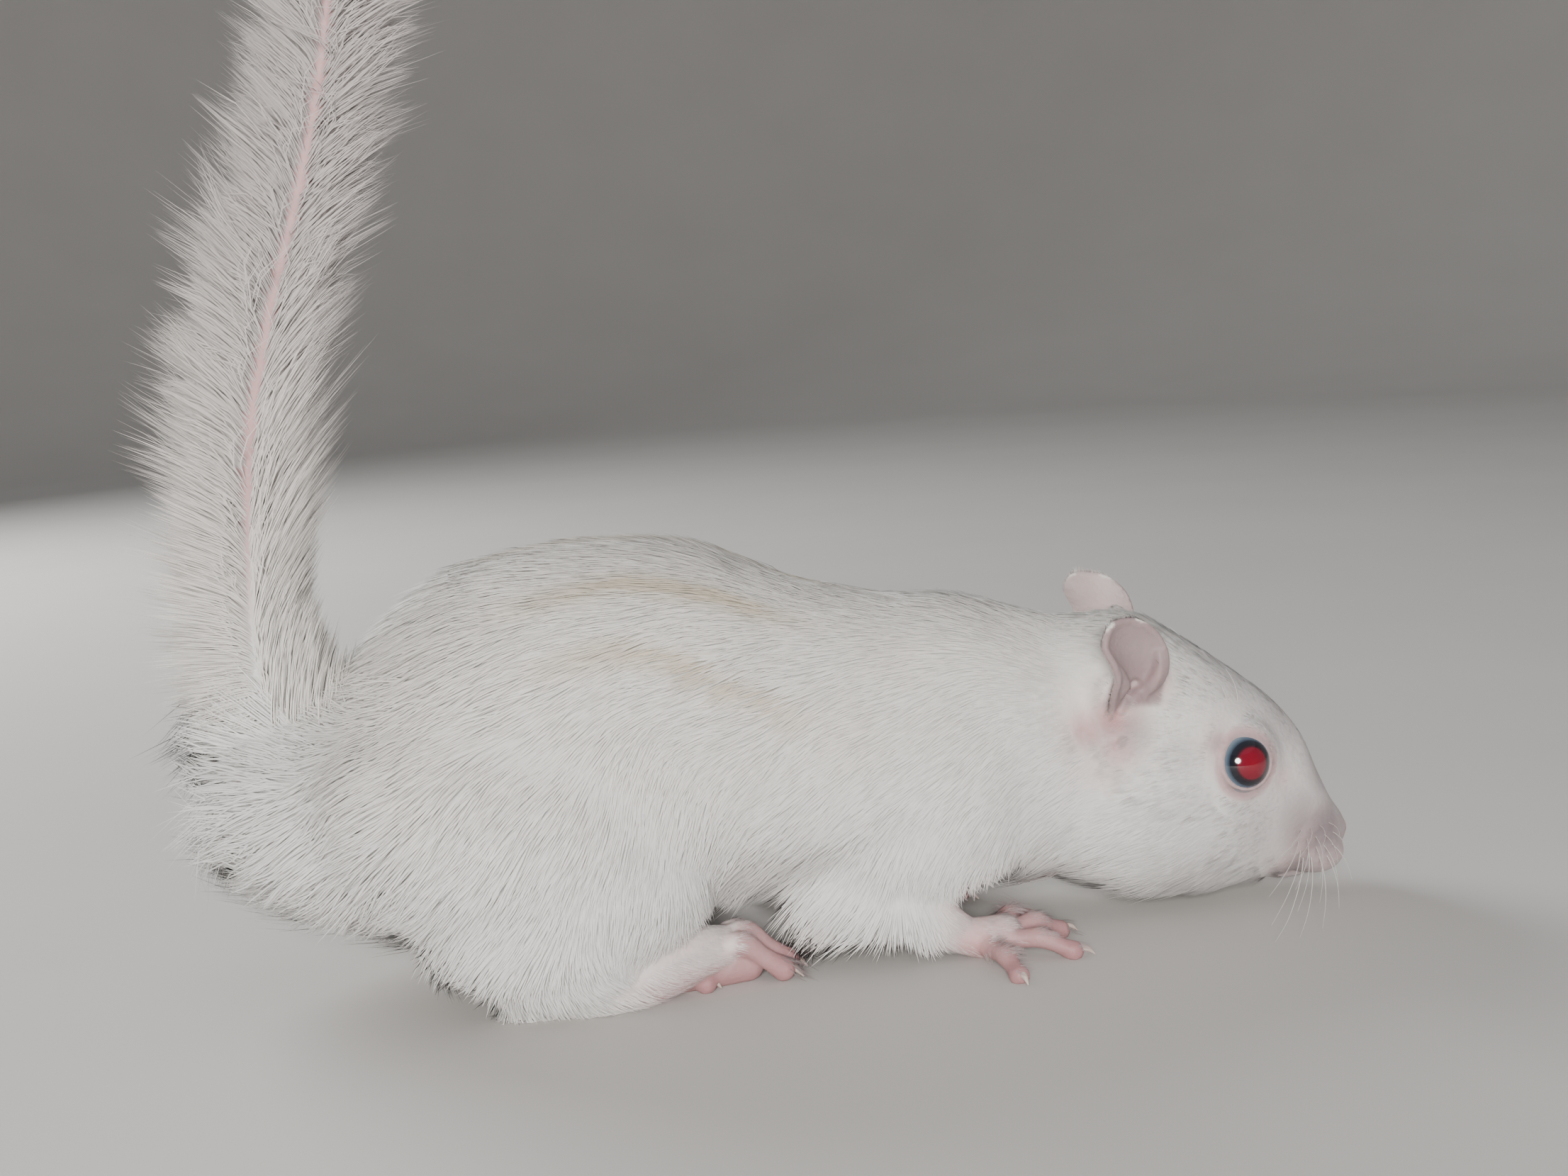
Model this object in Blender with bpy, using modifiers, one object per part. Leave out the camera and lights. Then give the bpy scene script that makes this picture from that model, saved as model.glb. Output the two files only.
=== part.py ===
"""A life-size albino Siberian chipmunk, crouched on a flat floor with its tail held up.

The body is modelled whole, as one soft form out to the tips of its coat, and is then parted
by thin cuts into head, ears, neck, trunk, legs, feet and three lengths of tail.
Tables and constants are in millimetres. X points forward and Y to the animal's left. The floor
is at z = 0, and while the forms are being laid out the right heel is at x = 0. The finished
animal is centred over the origin.
"""
import math

import bmesh
import bpy
from mathutils import Matrix, Vector

MM = 0.001

# Driving dimensions
CUT = 0.3                   # width of the cuts that part the body
EYE_RADIUS = 4.2
EYE_SEGMENTS = 18
REGION_SEGMENTS = 12          # a cut face is coarser than the coat it parts
EYE_AT = (92.7, 8.4, 20.2)  # in the straight head, before it turns
HEAD_PIVOT = (72.0, 0.0, 20.0)
HEAD_YAW = -9.0             # degrees: the nose turns to the animal's right
HEAD_ROLL = 4.0             # degrees: the right side of the head sinks
TOE_RADIUS = 1.35
CLAW_RADIUS = 0.55
SOLE_DEPTH = 0.5            # how far the feet are pressed below the floor before it trims them
EAR_THICKNESS = 1.1

# Surface making
VOXEL = 0.45
SMOOTHING = 6
FINE_TRIANGLES = 4600       # triangles of the whole body before it is cut
RINGS_BETWEEN = 5
PAW_HEIGHT = 6.0            # what is lower than this keeps finer triangles
RING_POINTS = 40
HEAD_FULLNESS = 2.35

# Each row of an outline: upper or front edge (x, z), lower or rear edge (x, z), half width,
# and where between the two edges the section is widest (0 = lower or rear edge).
TRUNK = (
    ((-36.5, 26.5), (-37.0, 22.0), 4.0, 0.5),
    ((-34.0, 31.5), (-35.5, 17.0), 10.0, 0.5),
    ((-28.5, 35.5), (-29.5, 11.8), 15.5, 0.45),
    ((-20.0, 38.5), (-20.0, 7.8), 20.0, 0.42),
    ((-11.5, 47.3), (-11.0, 5.2), 23.5, 0.38),
    ((-2.0, 52.5), (0.0, 5.5), 25.5, 0.36),
    ((12.0, 54.4), (12.0, 6.0), 25.5, 0.38),
    ((26.0, 52.8), (26.0, 7.4), 24.0, 0.40),
    ((39.0, 47.3), (39.0, 6.8), 21.5, 0.40),
    ((50.0, 44.6), (50.0, 6.3), 19.2, 0.40),
    ((59.5, 43.4), (60.0, 5.2), 17.2, 0.42),
    ((68.0, 40.9), (68.0, 3.8), 15.2, 0.43),
    ((76.0, 38.4), (76.0, 4.0), 12.6, 0.45),
)
HEAD = (
    ((68.0, 39.8), (68.0, 6.0), 12.0, 0.45),
    ((73.0, 39.4), (73.0, 3.2), 13.6, 0.42),
    ((79.0, 39.4), (79.0, 1.6), 14.3, 0.40),
    ((84.0, 38.1), (84.0, 1.0), 14.2, 0.37),
    ((88.8, 34.9), (89.0, 0.9), 13.0, 0.37),
    ((94.1, 31.0), (94.1, 1.7), 11.0, 0.38),
    ((98.8, 26.9), (98.4, 2.2), 8.7, 0.38),
    ((102.6, 22.1), (101.8, 3.1), 6.7, 0.40),
    ((104.9, 16.7), (104.0, 4.1), 5.4, 0.42),
    ((107.0, 12.8), (105.6, 4.6), 4.6, 0.42),
    ((108.7, 10.4), (107.2, 5.1), 3.5, 0.45),
    ((109.4, 8.6), (108.6, 6.2), 1.6, 0.50),
)
TAIL = (
    ((-20.0, 30.0), (-35.0, 28.0), 8.0, 0.5),
    ((-18.8, 39.5), (-40.5, 36.5), 10.5, 0.5),
    ((-17.0, 47.0), (-43.2, 46.0), 12.0, 0.55),
    ((-15.2, 57.0), (-43.6, 56.5), 13.2, 0.55),
    ((-14.6, 70.0), (-42.4, 70.0), 13.6, 0.60),
    ((-12.6, 82.0), (-39.4, 83.5), 13.6, 0.65),
    ((-8.2, 94.0), (-34.6, 96.0), 13.6, 0.55),
    ((-3.2, 105.5), (-29.6, 108.0), 13.4, 0.50),
    ((0.6, 116.0), (-26.0, 118.5), 12.8, 0.45),
    ((1.4, 127.0), (-23.0, 128.5), 11.3, 0.45),
    ((-1.2, 137.0), (-19.6, 138.0), 8.2, 0.45),
    ((-5.8, 143.5), (-15.0, 144.0), 4.4, 0.50),
    ((-8.8, 146.4), (-11.8, 146.5), 1.4, 0.50),
)
# The ear flap from its root to its tip: rear edge x, front edge x, height, distance of the
# middle from the animal's mid plane, and how far the rims curl out of it.
EAR = (
    (74.6, 79.8, 26.2, 12.7, 0.0),
    (72.6, 80.8, 28.6, 12.8, 0.2),
    (72.4, 81.8, 30.8, 12.6, 0.7),
    (74.4, 82.4, 32.8, 12.3, 1.4),
    (75.4, 82.8, 34.6, 12.1, 1.9),
    (74.8, 82.8, 36.6, 12.2, 1.9),
    (74.0, 82.2, 38.6, 12.5, 1.5),
    (74.8, 80.9, 40.2, 12.9, 0.9),
    (76.4, 79.0, 41.2, 13.1, 0.3),
)
EAR_TURN = math.radians(28)  # the flap's hollow side looks this far forward of sideways

# Paws, as (x, y, z) along each toe from its root to the root of its claw, then the claw's tip.
# They are the right paws; y is mirrored for the left ones.
FRONT_TOES = (
    ((57.5, -13.0, 2.6), (61.5, -8.8, 2.9), (64.2, -6.2, 1.2), (66.2, -4.4, 0.5)),
    ((58.5, -15.0, 2.9), (63.5, -13.4, 3.3), (67.0, -12.2, 1.3), (69.5, -11.4, 0.5)),
    ((58.5, -17.0, 2.8), (62.8, -18.6, 3.0), (66.4, -19.7, 1.3), (69.0, -19.9, 0.5)),
    ((56.4, -18.0, 2.4), (57.4, -21.8, 2.4), (58.0, -25.2, 1.2), (58.5, -27.2, 0.5)),
)
HIND_TOES = (
    ((17.0, -13.2, 2.8), (21.0, -11.0, 2.8), (24.2, -9.6, 1.2), (26.0, -8.8, 0.5)),
    ((21.0, -14.0, 4.0), (26.6, -12.0, 4.8), (31.4, -10.6, 1.5), (33.4, -9.8, 0.5)),
    ((21.0, -15.4, 4.2), (27.2, -14.0, 5.2), (32.6, -13.0, 1.5), (34.8, -12.6, 0.5)),
    ((20.5, -16.8, 3.8), (26.6, -16.0, 4.6), (32.0, -15.8, 1.5), (34.1, -15.8, 0.5)),
    ((17.0, -18.0, 2.8), (21.0, -18.2, 2.8), (24.6, -18.0, 1.3), (26.4, -17.9, 0.5)),
)
LEFT_FOREFOOT_LEAD = -3.0   # the left forefoot stands this far ahead of the right one
LEFT_HIND_FOOT_LEAD = -7.0

# Where the body is parted
FAR = 200.0                 # beyond every part
TAIL_CUTS = (74.0, 108.0)
TAIL_SLEEVE = ((-31.8, 0, 49.8, 16.5), (-29, 0, 75, 18), (-24, 0, 100, 20))
HEAD_CUT = 70.4
NECK_CUT = 58.5
EAR_BOX_NEAR = 10.9
EAR_BOX_BOTTOM = 31.4
# Limb, then its egg's centre (for the left side), radii and pitch, how far the left limb leads,
# and the share of that lead that the egg takes.
LIMB_EGGS = (
    ("forefoot", (61.5, 14.8, 1.0), (12.0, 14.6, 5.2), 0.0, LEFT_FOREFOOT_LEAD, 1.0),
    ("hind_foot", (25.0, 14.0, 1.5), (12.5, 9.5, 6.2), 0.0, LEFT_HIND_FOOT_LEAD, 1.0),
    ("hind_leg", (2.0, 20.0, 16.0), (26.0, 14.5, 24.0), 0.0, LEFT_HIND_FOOT_LEAD, 0.7),
    ("foreleg", (49.0, 17.0, 14.0), (18.0, 10.5, 20.0), 15.0, LEFT_FOREFOOT_LEAD, 0.7),
)

COAT_WHITE = (0.80, 0.77, 0.71, 1.0)
SKIN_PINK = (0.78, 0.50, 0.47, 1.0)
EYE_RED = (0.42, 0.02, 0.03, 1.0)


# ---------------------------------------------------------------- forms

def between(rows, steps):
    """Rows of numbers with a smooth Catmull-Rom curve drawn through them."""
    smooth = []
    last = len(rows) - 1
    for i in range(last):
        a, b, c, d = (rows[min(max(i + k, 0), last)] for k in (-1, 0, 1, 2))
        for step in range(steps):
            t = step / steps
            smooth.append(tuple(
                0.5 * (2 * q + (r - p) * t + (2 * p - 5 * q + 4 * r - s) * t * t
                       + (3 * q - p - 3 * r + s) * t ** 3)
                for p, q, r, s in zip(a, b, c, d)))
    smooth.append(rows[last])
    return smooth


def new_object(name, bm):
    mesh = bpy.data.meshes.new(name)
    bm.to_mesh(mesh)
    bm.free()
    obj = bpy.data.objects.new(name, mesh)
    forms.objects.link(obj)
    return obj


def skin_rings(name, rings):
    """A closed loft over rings of points with the same count in each."""
    bm = bmesh.new()
    loops = [[bm.verts.new(Vector(point) * MM) for point in ring] for ring in rings]
    count = len(loops[0])
    for low, high in zip(loops, loops[1:]):
        for i in range(count):
            j = (i + 1) % count
            bm.faces.new((low[i], low[j], high[j], high[i]))
    bm.faces.new(reversed(loops[0]))
    bm.faces.new(loops[-1])
    bmesh.ops.recalc_face_normals(bm, faces=bm.faces)
    return new_object(name, bm)


def outline_loft(name, outline, fullness=2.0):
    """A body of rounded sections that each reach from one edge of the outline to the other.

    A fullness of 2 gives ellipses, and a higher one gives squarer sections.
    """
    rows = [(u[0], u[1], v[0], v[1], half, widest) for u, v, half, widest in outline]
    rings = []
    for ux, uz, vx, vz, half, widest in between(rows, RINGS_BETWEEN):
        upper, lower = Vector((ux, 0, uz)), Vector((vx, 0, vz))
        middle = lower.lerp(upper, widest)
        ring = []
        for k in range(RING_POINTS):
            angle = math.tau * k / RING_POINTS
            rise, spread = (math.copysign(abs(part) ** (2 / fullness), part)
                            for part in (math.sin(angle), math.cos(angle)))
            reach = upper - middle if rise > 0 else middle - lower
            ring.append(middle + reach * rise + Vector((0, half * spread, 0)))
        rings.append(ring)
    return skin_rings(name, rings)


def limb(name, rows, points=16):
    """A round limb along (x, y, z, radius) rows, with dome ends."""
    rows = between(rows, RINGS_BETWEEN)
    places = [Vector(row[:3]) for row in rows]
    radii = [row[3] for row in rows]
    heads = [(b - a).normalized() for a, b in zip(places, places[1:])]
    heads.append(heads[-1])
    stations = []
    for dome in (75, 45, 20):
        angle = math.radians(dome)
        stations.append((places[0] - heads[0] * radii[0] * math.sin(angle),
                         heads[0], radii[0] * math.cos(angle)))
    stations += list(zip(places, heads, radii))
    for dome in (20, 45, 75):
        angle = math.radians(dome)
        stations.append((places[-1] + heads[-1] * radii[-1] * math.sin(angle),
                         heads[-1], radii[-1] * math.cos(angle)))
    rings = []
    for place, head, radius in stations:
        side = head.cross(Vector((0, 0, 1))).normalized()
        up = side.cross(head)
        rings.append([place + radius * (side * math.cos(math.tau * k / points)
                                        + up * math.sin(math.tau * k / points))
                      for k in range(points)])
    return skin_rings(name, rings)


def egg(name, centre, radii, pitch=0.0, segments=32):
    """An ellipsoid; a positive pitch, in degrees, lowers its front."""
    matrix = (Matrix.Translation(Vector(centre) * MM)
              @ Matrix.Rotation(math.radians(pitch), 4, "Y")
              @ Matrix.Diagonal((*(Vector(radii) * MM), 1.0)))
    bm = bmesh.new()
    bmesh.ops.create_uvsphere(bm, u_segments=segments, v_segments=segments // 2, radius=1.0,
                              matrix=matrix)
    return new_object(name, bm)


def block(name, low, high):
    """A box from its lowest to its highest corner."""
    low, high = Vector(low) * MM, Vector(high) * MM
    matrix = Matrix.Translation((low + high) / 2) @ Matrix.Diagonal((*(high - low), 1.0))
    bm = bmesh.new()
    bmesh.ops.create_cube(bm, size=1.0, matrix=matrix)
    return new_object(name, bm)


def mirrored(point, side):
    """A point given for the right side (side = -1), or its twin on the left (side = 1)."""
    return (point[0], -point[1] * side, *point[2:])


# ---------------------------------------------------------------- tools on objects

def settle(obj):
    """Apply the object's modifiers to its mesh."""
    depsgraph = bpy.context.evaluated_depsgraph_get()
    mesh = bpy.data.meshes.new_from_object(obj.evaluated_get(depsgraph))
    obj.modifiers.clear()
    obj.data = mesh


def copy_of(obj, name):
    twin = bpy.data.objects.new(name, obj.data.copy())
    forms.objects.link(twin)
    return twin


def boolean(obj, tool, operation):
    modifier = obj.modifiers.new("cut", "BOOLEAN")
    modifier.operation = operation
    modifier.object = tool
    bpy.context.view_layer.update()
    settle(obj)
    bpy.data.objects.remove(tool)


def keep_largest(obj):
    """Drop every loose crumb but the largest piece."""
    bm = bmesh.new()
    bm.from_mesh(obj.data)
    islands, seen = [], set()
    for start in bm.verts:
        if start in seen:
            continue
        island, edge = [], [start]
        seen.add(start)
        while edge:
            vert = edge.pop()
            island.append(vert)
            for link in vert.link_edges:
                other = link.other_vert(vert)
                if other not in seen:
                    seen.add(other)
                    edge.append(other)
        islands.append(island)
    islands.sort(key=len)
    for island in islands[:-1]:
        bmesh.ops.delete(bm, geom=island, context="VERTS")
    bm.to_mesh(obj.data)
    bm.free()


def part_off(body, name, region):
    """Cut what lies inside a region off the body, leaving a thin gap; region(grow) makes it."""
    piece = copy_of(body, name)
    boolean(piece, region(0.0), "INTERSECT")
    boolean(body, region(CUT), "DIFFERENCE")
    keep_largest(piece)
    keep_largest(body)
    return piece


# ---------------------------------------------------------------- the animal

def ear_form(side):
    """A cupped flap with curled rims, standing on the side of the head."""
    across = Vector((math.cos(EAR_TURN), math.sin(EAR_TURN) * -side, 0))
    out = Vector((math.sin(EAR_TURN), math.cos(EAR_TURN) * side, 0))
    columns = 13
    bm = bmesh.new()
    grid = []
    for rear, front, height, stand, curl in between(EAR, RINGS_BETWEEN):
        middle = Vector(((rear + front) / 2, stand * side, height))
        reach = (front - rear) / 2
        line = []
        for k in range(columns):
            u = 2 * k / (columns - 1) - 1
            line.append(bm.verts.new((middle + across * reach * u + out * curl * u * u) * MM))
        grid.append(line)
    for low, high in zip(grid, grid[1:]):
        for i in range(columns - 1):
            bm.faces.new((low[i], low[i + 1], high[i + 1], high[i]))
    flap = new_object("ear_flap", bm)
    solid = flap.modifiers.new("thickness", "SOLIDIFY")
    solid.thickness = EAR_THICKNESS * MM
    solid.offset = 0.0
    settle(flap)
    return flap


def head_forms():
    """The straight head with its ears, ready to turn."""
    made = [outline_loft("head_form", HEAD, HEAD_FULLNESS)]
    for side in (-1, 1):
        made.append(egg("jowl", (82.0, 6.6 * side, 12.6), (11.0, 7.3, 10.0)))
        made.append(egg("brow", (92.6, 7.0 * side, 21.6), (6.6, 4.1, 5.6), pitch=35))
        made.append(egg("lip", (102.0, 2.6 * side, 8.5), (5.8, 3.3, 3.5), pitch=16))
        made.append(egg("ear_root", (77.8, 11.0 * side, 30.4), (4.4, 2.4, 4.6)))
        made.append(egg("ear_front", (81.8, 9.3 * side, 34.0), (2.2, 2.6, 4.2), pitch=-20))
        made.append(ear_form(side))
    return made


def turn_head(parts):
    """Turn parts of the straight head about the neck."""
    pivot = Matrix.Translation(Vector(HEAD_PIVOT) * MM)
    turn = (pivot @ Matrix.Rotation(math.radians(HEAD_YAW), 4, "Z")
            @ Matrix.Rotation(math.radians(HEAD_ROLL), 4, "X") @ pivot.inverted())
    for part in parts:
        part.data.transform(turn)


def hind_limb_forms(side):
    """Haunch, shank and long hind foot."""
    lead = LEFT_HIND_FOOT_LEAD if side > 0 else 0.0
    made = [
        egg("haunch", (1.5 + lead / 2, 15.0 * side, 22.5), (23.5, 12.8, 16.5), pitch=14),
        egg("stifle", (5 + lead * 0.75, 16.8 * side, 15.5), (19, 10.6, 12.5), pitch=4),
        egg("shank", (6.5 + lead, 18.0 * side, 11.6), (17, 9.0, 10.4), pitch=4),
        egg("heel_fur", (-3.5 + lead, 17.2 * side, 9.0), (11.5, 7.8, 8.2)),
    ]
    sole = ((0.5, -19.6, 2.4, 2.9), (7, -19.4, 2.6, 3.2), (14, -17.6, 3.0, 3.5),
            (20, -15.8, 3.4, 3.3))
    rows = [mirrored(row, side) for row in sole]
    made.append(limb("metatarsus", [(x + lead, y, z, r) for x, y, z, r in rows]))
    for toe in HIND_TOES:
        made += toe_forms([mirrored((x + lead, y, z), side) for x, y, z in toe])
    return made


def fore_limb_forms(side):
    """Shoulder, upper arm, forearm and hand."""
    lead = LEFT_FOREFOOT_LEAD if side > 0 else 0.0
    made = [
        egg("shoulder", (53 + lead / 2, 11.2 * side, 21), (14, 7.9, 14.5), pitch=20),
        egg("elbow", (41 + lead, 14.2 * side, 9.0), (8.5, 5.6, 6.2), pitch=-10),
    ]
    arm = ((42, -14.6, 8.0, 5.2), (48, -15.2, 6.2, 4.0), (53, -15.4, 3.4, 2.8),
           (57, -15.8, 2.6, 3.0))
    rows = [mirrored(row, side) for row in arm]
    made.append(limb("forearm", [(x + lead, y, z, r) for x, y, z, r in rows]))
    for toe in FRONT_TOES:
        made += toe_forms([mirrored((x + lead, y, z), side) for x, y, z in toe])
    return made


def toe_forms(points):
    """One toe along its first three points, with a claw that runs on to the fourth."""
    root, knuckle, end, tip = (Vector(point) for point in points)
    flesh = [(*root, TOE_RADIUS * 1.1), (*knuckle, TOE_RADIUS), (*end, TOE_RADIUS)]
    arch = end.lerp(tip, 0.5) + Vector((0, 0, 0.5))
    claw = [(*end, CLAW_RADIUS * 1.3), (*arch, CLAW_RADIUS), (*tip, CLAW_RADIUS * 0.8)]
    return [limb("toe", flesh, points=12), limb("claw", claw, points=8)]


def joined(parts, name):
    """One closed skin over all the parts."""
    bm = bmesh.new()
    for obj in parts:
        bm.from_mesh(obj.data)
        bpy.data.objects.remove(obj)
    body = new_object(name, bm)
    remesh = body.modifiers.new("one_skin", "REMESH")
    remesh.mode = "VOXEL"
    remesh.voxel_size = VOXEL * MM
    smooth = body.modifiers.new("soften", "SMOOTH")
    smooth.iterations = SMOOTHING
    smooth.factor = 0.5
    settle(body)
    return body


def trimmed_to_floor(body):
    """Flatten what was pressed below the floor, so that the soles lie on it."""
    floor = block("floor", (-FAR, -FAR, -FAR), (FAR, FAR, 0))
    boolean(body, floor, "DIFFERENCE")


def coarsened(body):
    """Fewer triangles, with the finer ones kept on the head, ears and paws."""
    fine = body.vertex_groups.new(name="fine")
    for vert in body.data.vertices:
        if vert.co.x > HEAD_CUT * MM or vert.co.z < PAW_HEIGHT * MM:
            fine.add([vert.index], 0.9, "REPLACE")
    count = sum(len(face.vertices) - 2 for face in body.data.polygons)
    thin = body.modifiers.new("coarsen", "DECIMATE")
    thin.ratio = FINE_TRIANGLES / count
    thin.vertex_group = "fine"
    thin.invert_vertex_group = True
    thin.vertex_group_factor = 0.004
    settle(body)


def whole_body():
    head = head_forms()
    turn_head(head)
    parts = head + [outline_loft("trunk_form", TRUNK), outline_loft("tail_form", TAIL)]
    for side in (-1, 1):
        parts += hind_limb_forms(side) + fore_limb_forms(side)
    press = Matrix.Translation((0, 0, -SOLE_DEPTH * MM))
    for obj in parts:
        if obj.name.startswith(("toe", "metatarsus", "claw")):
            obj.data.transform(press)
    body = joined(parts, "trunk")
    coarsened(body)
    trimmed_to_floor(body)
    return body


# ---------------------------------------------------------------- parting

def above(height):
    """All that is higher than a level cut."""
    return lambda grow: block("region", (-FAR, -FAR, height - grow), (FAR, FAR, FAR))


def ahead(x, turned=False):
    """All that is ahead of an upright cut, which may turn with the head."""
    def region(grow):
        box = block("region", (x - grow, -FAR, -FAR), (FAR, FAR, FAR))
        if turned:
            turn_head([box])
        return box
    return region


def tail_base_region(grow):
    """A tube round the tail, whose dome bottom lies in the crease where the tail meets the back."""
    rows = [(x, y, z, r + grow) for x, y, z, r in TAIL_SLEEVE]
    return limb("region", rows, points=REGION_SEGMENTS)


def ear_region(side):
    """The free flap of one ear, above its root and outward of the skull."""
    def region(grow):
        near, far = EAR_BOX_NEAR - grow, FAR
        box = block("region", (HEAD_CUT, min(near * side, far * side), EAR_BOX_BOTTOM - grow),
                    (FAR, max(near * side, far * side), FAR))
        turn_head([box])
        return box
    return region


def egg_region(side, lead, centre, radii, pitch, share):
    """An egg round one limb, moved by its share of how far that limb leads its twin."""
    def region(grow):
        place = (centre[0] + lead * share, centre[1] * side, centre[2])
        grown = [radius + grow for radius in radii]
        return egg("region", place, grown, pitch, segments=REGION_SEGMENTS)
    return region


def eye_ball(side, name="region", grow=0.0):
    ball = egg(name, mirrored(EYE_AT, -side), [EYE_RADIUS + grow] * 3, segments=EYE_SEGMENTS)
    turn_head([ball])
    return ball


def parted(body):
    """Every named part of the body; the trunk is what stays when the others are cut off."""
    nodes = [part_off(body, "tail_tip", above(TAIL_CUTS[1])),
             part_off(body, "tail_middle", above(TAIL_CUTS[0])),
             part_off(body, "tail_base", tail_base_region)]
    for side, word in ((-1, "right"), (1, "left")):
        boolean(body, eye_ball(side, grow=CUT), "DIFFERENCE")
        nodes.append(eye_ball(side, "eye_" + word))
        nodes.append(part_off(body, "ear_" + word, ear_region(side)))
        for limb_name, centre, radii, pitch, left_lead, share in LIMB_EGGS:
            lead = left_lead if side > 0 else 0.0
            region = egg_region(side, lead, centre, radii, pitch, share)
            nodes.append(part_off(body, f"{limb_name}_{word}", region))
    nodes.append(part_off(body, "head", ahead(HEAD_CUT, turned=True)))
    nodes.append(part_off(body, "neck", ahead(NECK_CUT)))
    nodes.append(body)
    return nodes


# ---------------------------------------------------------------- finish

def material(name, colour, roughness):
    made = bpy.data.materials.new(name)
    made.use_nodes = True
    shader = made.node_tree.nodes["Principled BSDF"]
    shader.inputs["Base Color"].default_value = colour
    shader.inputs["Roughness"].default_value = roughness
    shader.inputs["Metallic"].default_value = 0.0
    return made


def paint(nodes):
    coat = material("white_coat", COAT_WHITE, 0.85)
    skin = material("pink_skin", SKIN_PINK, 0.55)
    eye = material("red_eye", EYE_RED, 0.08)
    for node in nodes:
        bare = node.name.startswith(("ear", "forefoot", "hind_foot"))
        chosen = eye if node.name.startswith("eye") else skin if bare else coat
        node.data.materials.clear()
        node.data.materials.append(chosen)
        node.data.shade_smooth()


def centre_over_origin(nodes):
    """Put the middle of the whole box over the origin, and each node's own origin in its middle."""
    corners = [node.matrix_world @ vert.co for node in nodes for vert in node.data.vertices]
    low = Vector([min(corner[axis] for corner in corners) for axis in range(3)])
    high = Vector([max(corner[axis] for corner in corners) for axis in range(3)])
    to_middle = Vector(((low.x + high.x) / -2, (low.y + high.y) / -2, -low.z))
    holder = bpy.data.objects.new("chipmunk_centre", None)
    model.objects.link(holder)
    for node in nodes:
        spread = [vert.co.copy() for vert in node.data.vertices]
        middle = sum(spread, Vector()) / len(spread)
        node.data.transform(Matrix.Translation(-middle))
        node.location = middle + to_middle
        node.parent = holder


def main():
    for obj in list(bpy.data.objects):
        bpy.data.objects.remove(obj)
    for collection in (forms, model):
        bpy.context.scene.collection.children.link(collection)
    nodes = parted(whole_body())
    for node in nodes:
        node.vertex_groups.clear()
        forms.objects.unlink(node)
        model.objects.link(node)
    paint(nodes)
    centre_over_origin(nodes)


forms = bpy.data.collections.new("construction")
model = bpy.data.collections.new("albino_siberian_chipmunk")
main()
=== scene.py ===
"""The looks of a life-size albino Siberian chipmunk, crouched with its tail held up.

One skin stands for every part of flesh and lies inside the coat. The coat is solid tufts that
are rooted in the skin, follow the lie of the hair and carry the skin's own markings. The eyes,
claws and whiskers are pieces of their own.
Tables and working coordinates are in millimetres, with X forward, Y to the animal's left, the
floor at z = 0 and the right heel at x = 0. Tables give one side, with y as the distance from the
mid plane, and serve both. Finished pieces are moved into the frame at the end.
"""

import math

import bmesh
import bpy
import numpy as np
from mathutils import Matrix, Vector
from mathutils.bvhtree import BVHTree
from mathutils.kdtree import KDTree


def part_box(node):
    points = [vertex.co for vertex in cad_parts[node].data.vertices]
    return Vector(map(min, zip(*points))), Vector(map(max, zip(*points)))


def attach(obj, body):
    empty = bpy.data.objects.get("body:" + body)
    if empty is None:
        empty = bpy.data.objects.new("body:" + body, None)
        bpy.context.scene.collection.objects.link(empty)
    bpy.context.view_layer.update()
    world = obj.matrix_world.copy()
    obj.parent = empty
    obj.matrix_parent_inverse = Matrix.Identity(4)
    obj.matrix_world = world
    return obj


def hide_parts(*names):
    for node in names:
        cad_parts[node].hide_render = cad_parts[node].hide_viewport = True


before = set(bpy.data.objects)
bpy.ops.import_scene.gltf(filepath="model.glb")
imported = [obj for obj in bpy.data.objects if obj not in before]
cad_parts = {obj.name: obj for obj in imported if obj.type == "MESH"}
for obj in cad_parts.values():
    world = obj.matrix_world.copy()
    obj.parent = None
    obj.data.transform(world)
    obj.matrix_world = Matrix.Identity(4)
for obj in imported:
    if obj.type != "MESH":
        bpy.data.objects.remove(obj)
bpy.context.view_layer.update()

MM = 0.001
SEED = 20
SIDES = ((-1, "right"), (1, "left"))

# ------ the animal's form
EYE_RADIUS = 4.2
CAD_EYE_AT = (92.7, 8.4, 20.2)  # in the straight head, before it turns
EYE_AT = (92.7, 8.4, 20.8)
LID_OPENING = (3.25, 3.42)  # half the length and height of the opening between the lids
LID_OFFSET = (0.75, 0.85)  # how far ahead of and above the eye's middle the lids open
LID_SLANT = math.radians(14)
LID_RADIUS = 0.31
LID_LIFT = 0.08  # the lids ride this far off the eyeball
PUPIL_TURN = (1.30, 0.95)  # how far forward and up the pupil looks, on the ball
HEAD_PIVOT = (72.0, 0.0, 20.0)
HEAD_YAW = -9.0  # degrees: the nose turns to the animal's right
HEAD_ROLL = 4.0  # degrees: the right side of the head sinks
HEAD_FULLNESS = 2.35  # 2 is an ellipse; more is squarer
RINGS_BETWEEN = 5  # from one row of a table to the next
RING_POINTS = 48
DOME_TURNS = tuple(math.radians(turn) for turn in (75, 45, 20))  # rings of a limb's round end
BODY_VOXEL = 0.55
SKIN_VOXEL = 0.30
BODY_SOFTENING = 16
SKIN_SOFTENING = 3
SKIN_TRIANGLES = 184000
THIN_WEIGHT = 0.9  # how readily the skin under the coat gives up its triangles
THIN_FACTOR = 0.004
NOSE_TIP = 105.8  # the straight head's skin has smaller faces ahead of this x
MUZZLE_FROM = 4  # the bare muzzle starts at this row of HEAD
MUZZLE_INSETS = (1.6, 0.7, 0.25) + (0.05,) * 5

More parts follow.
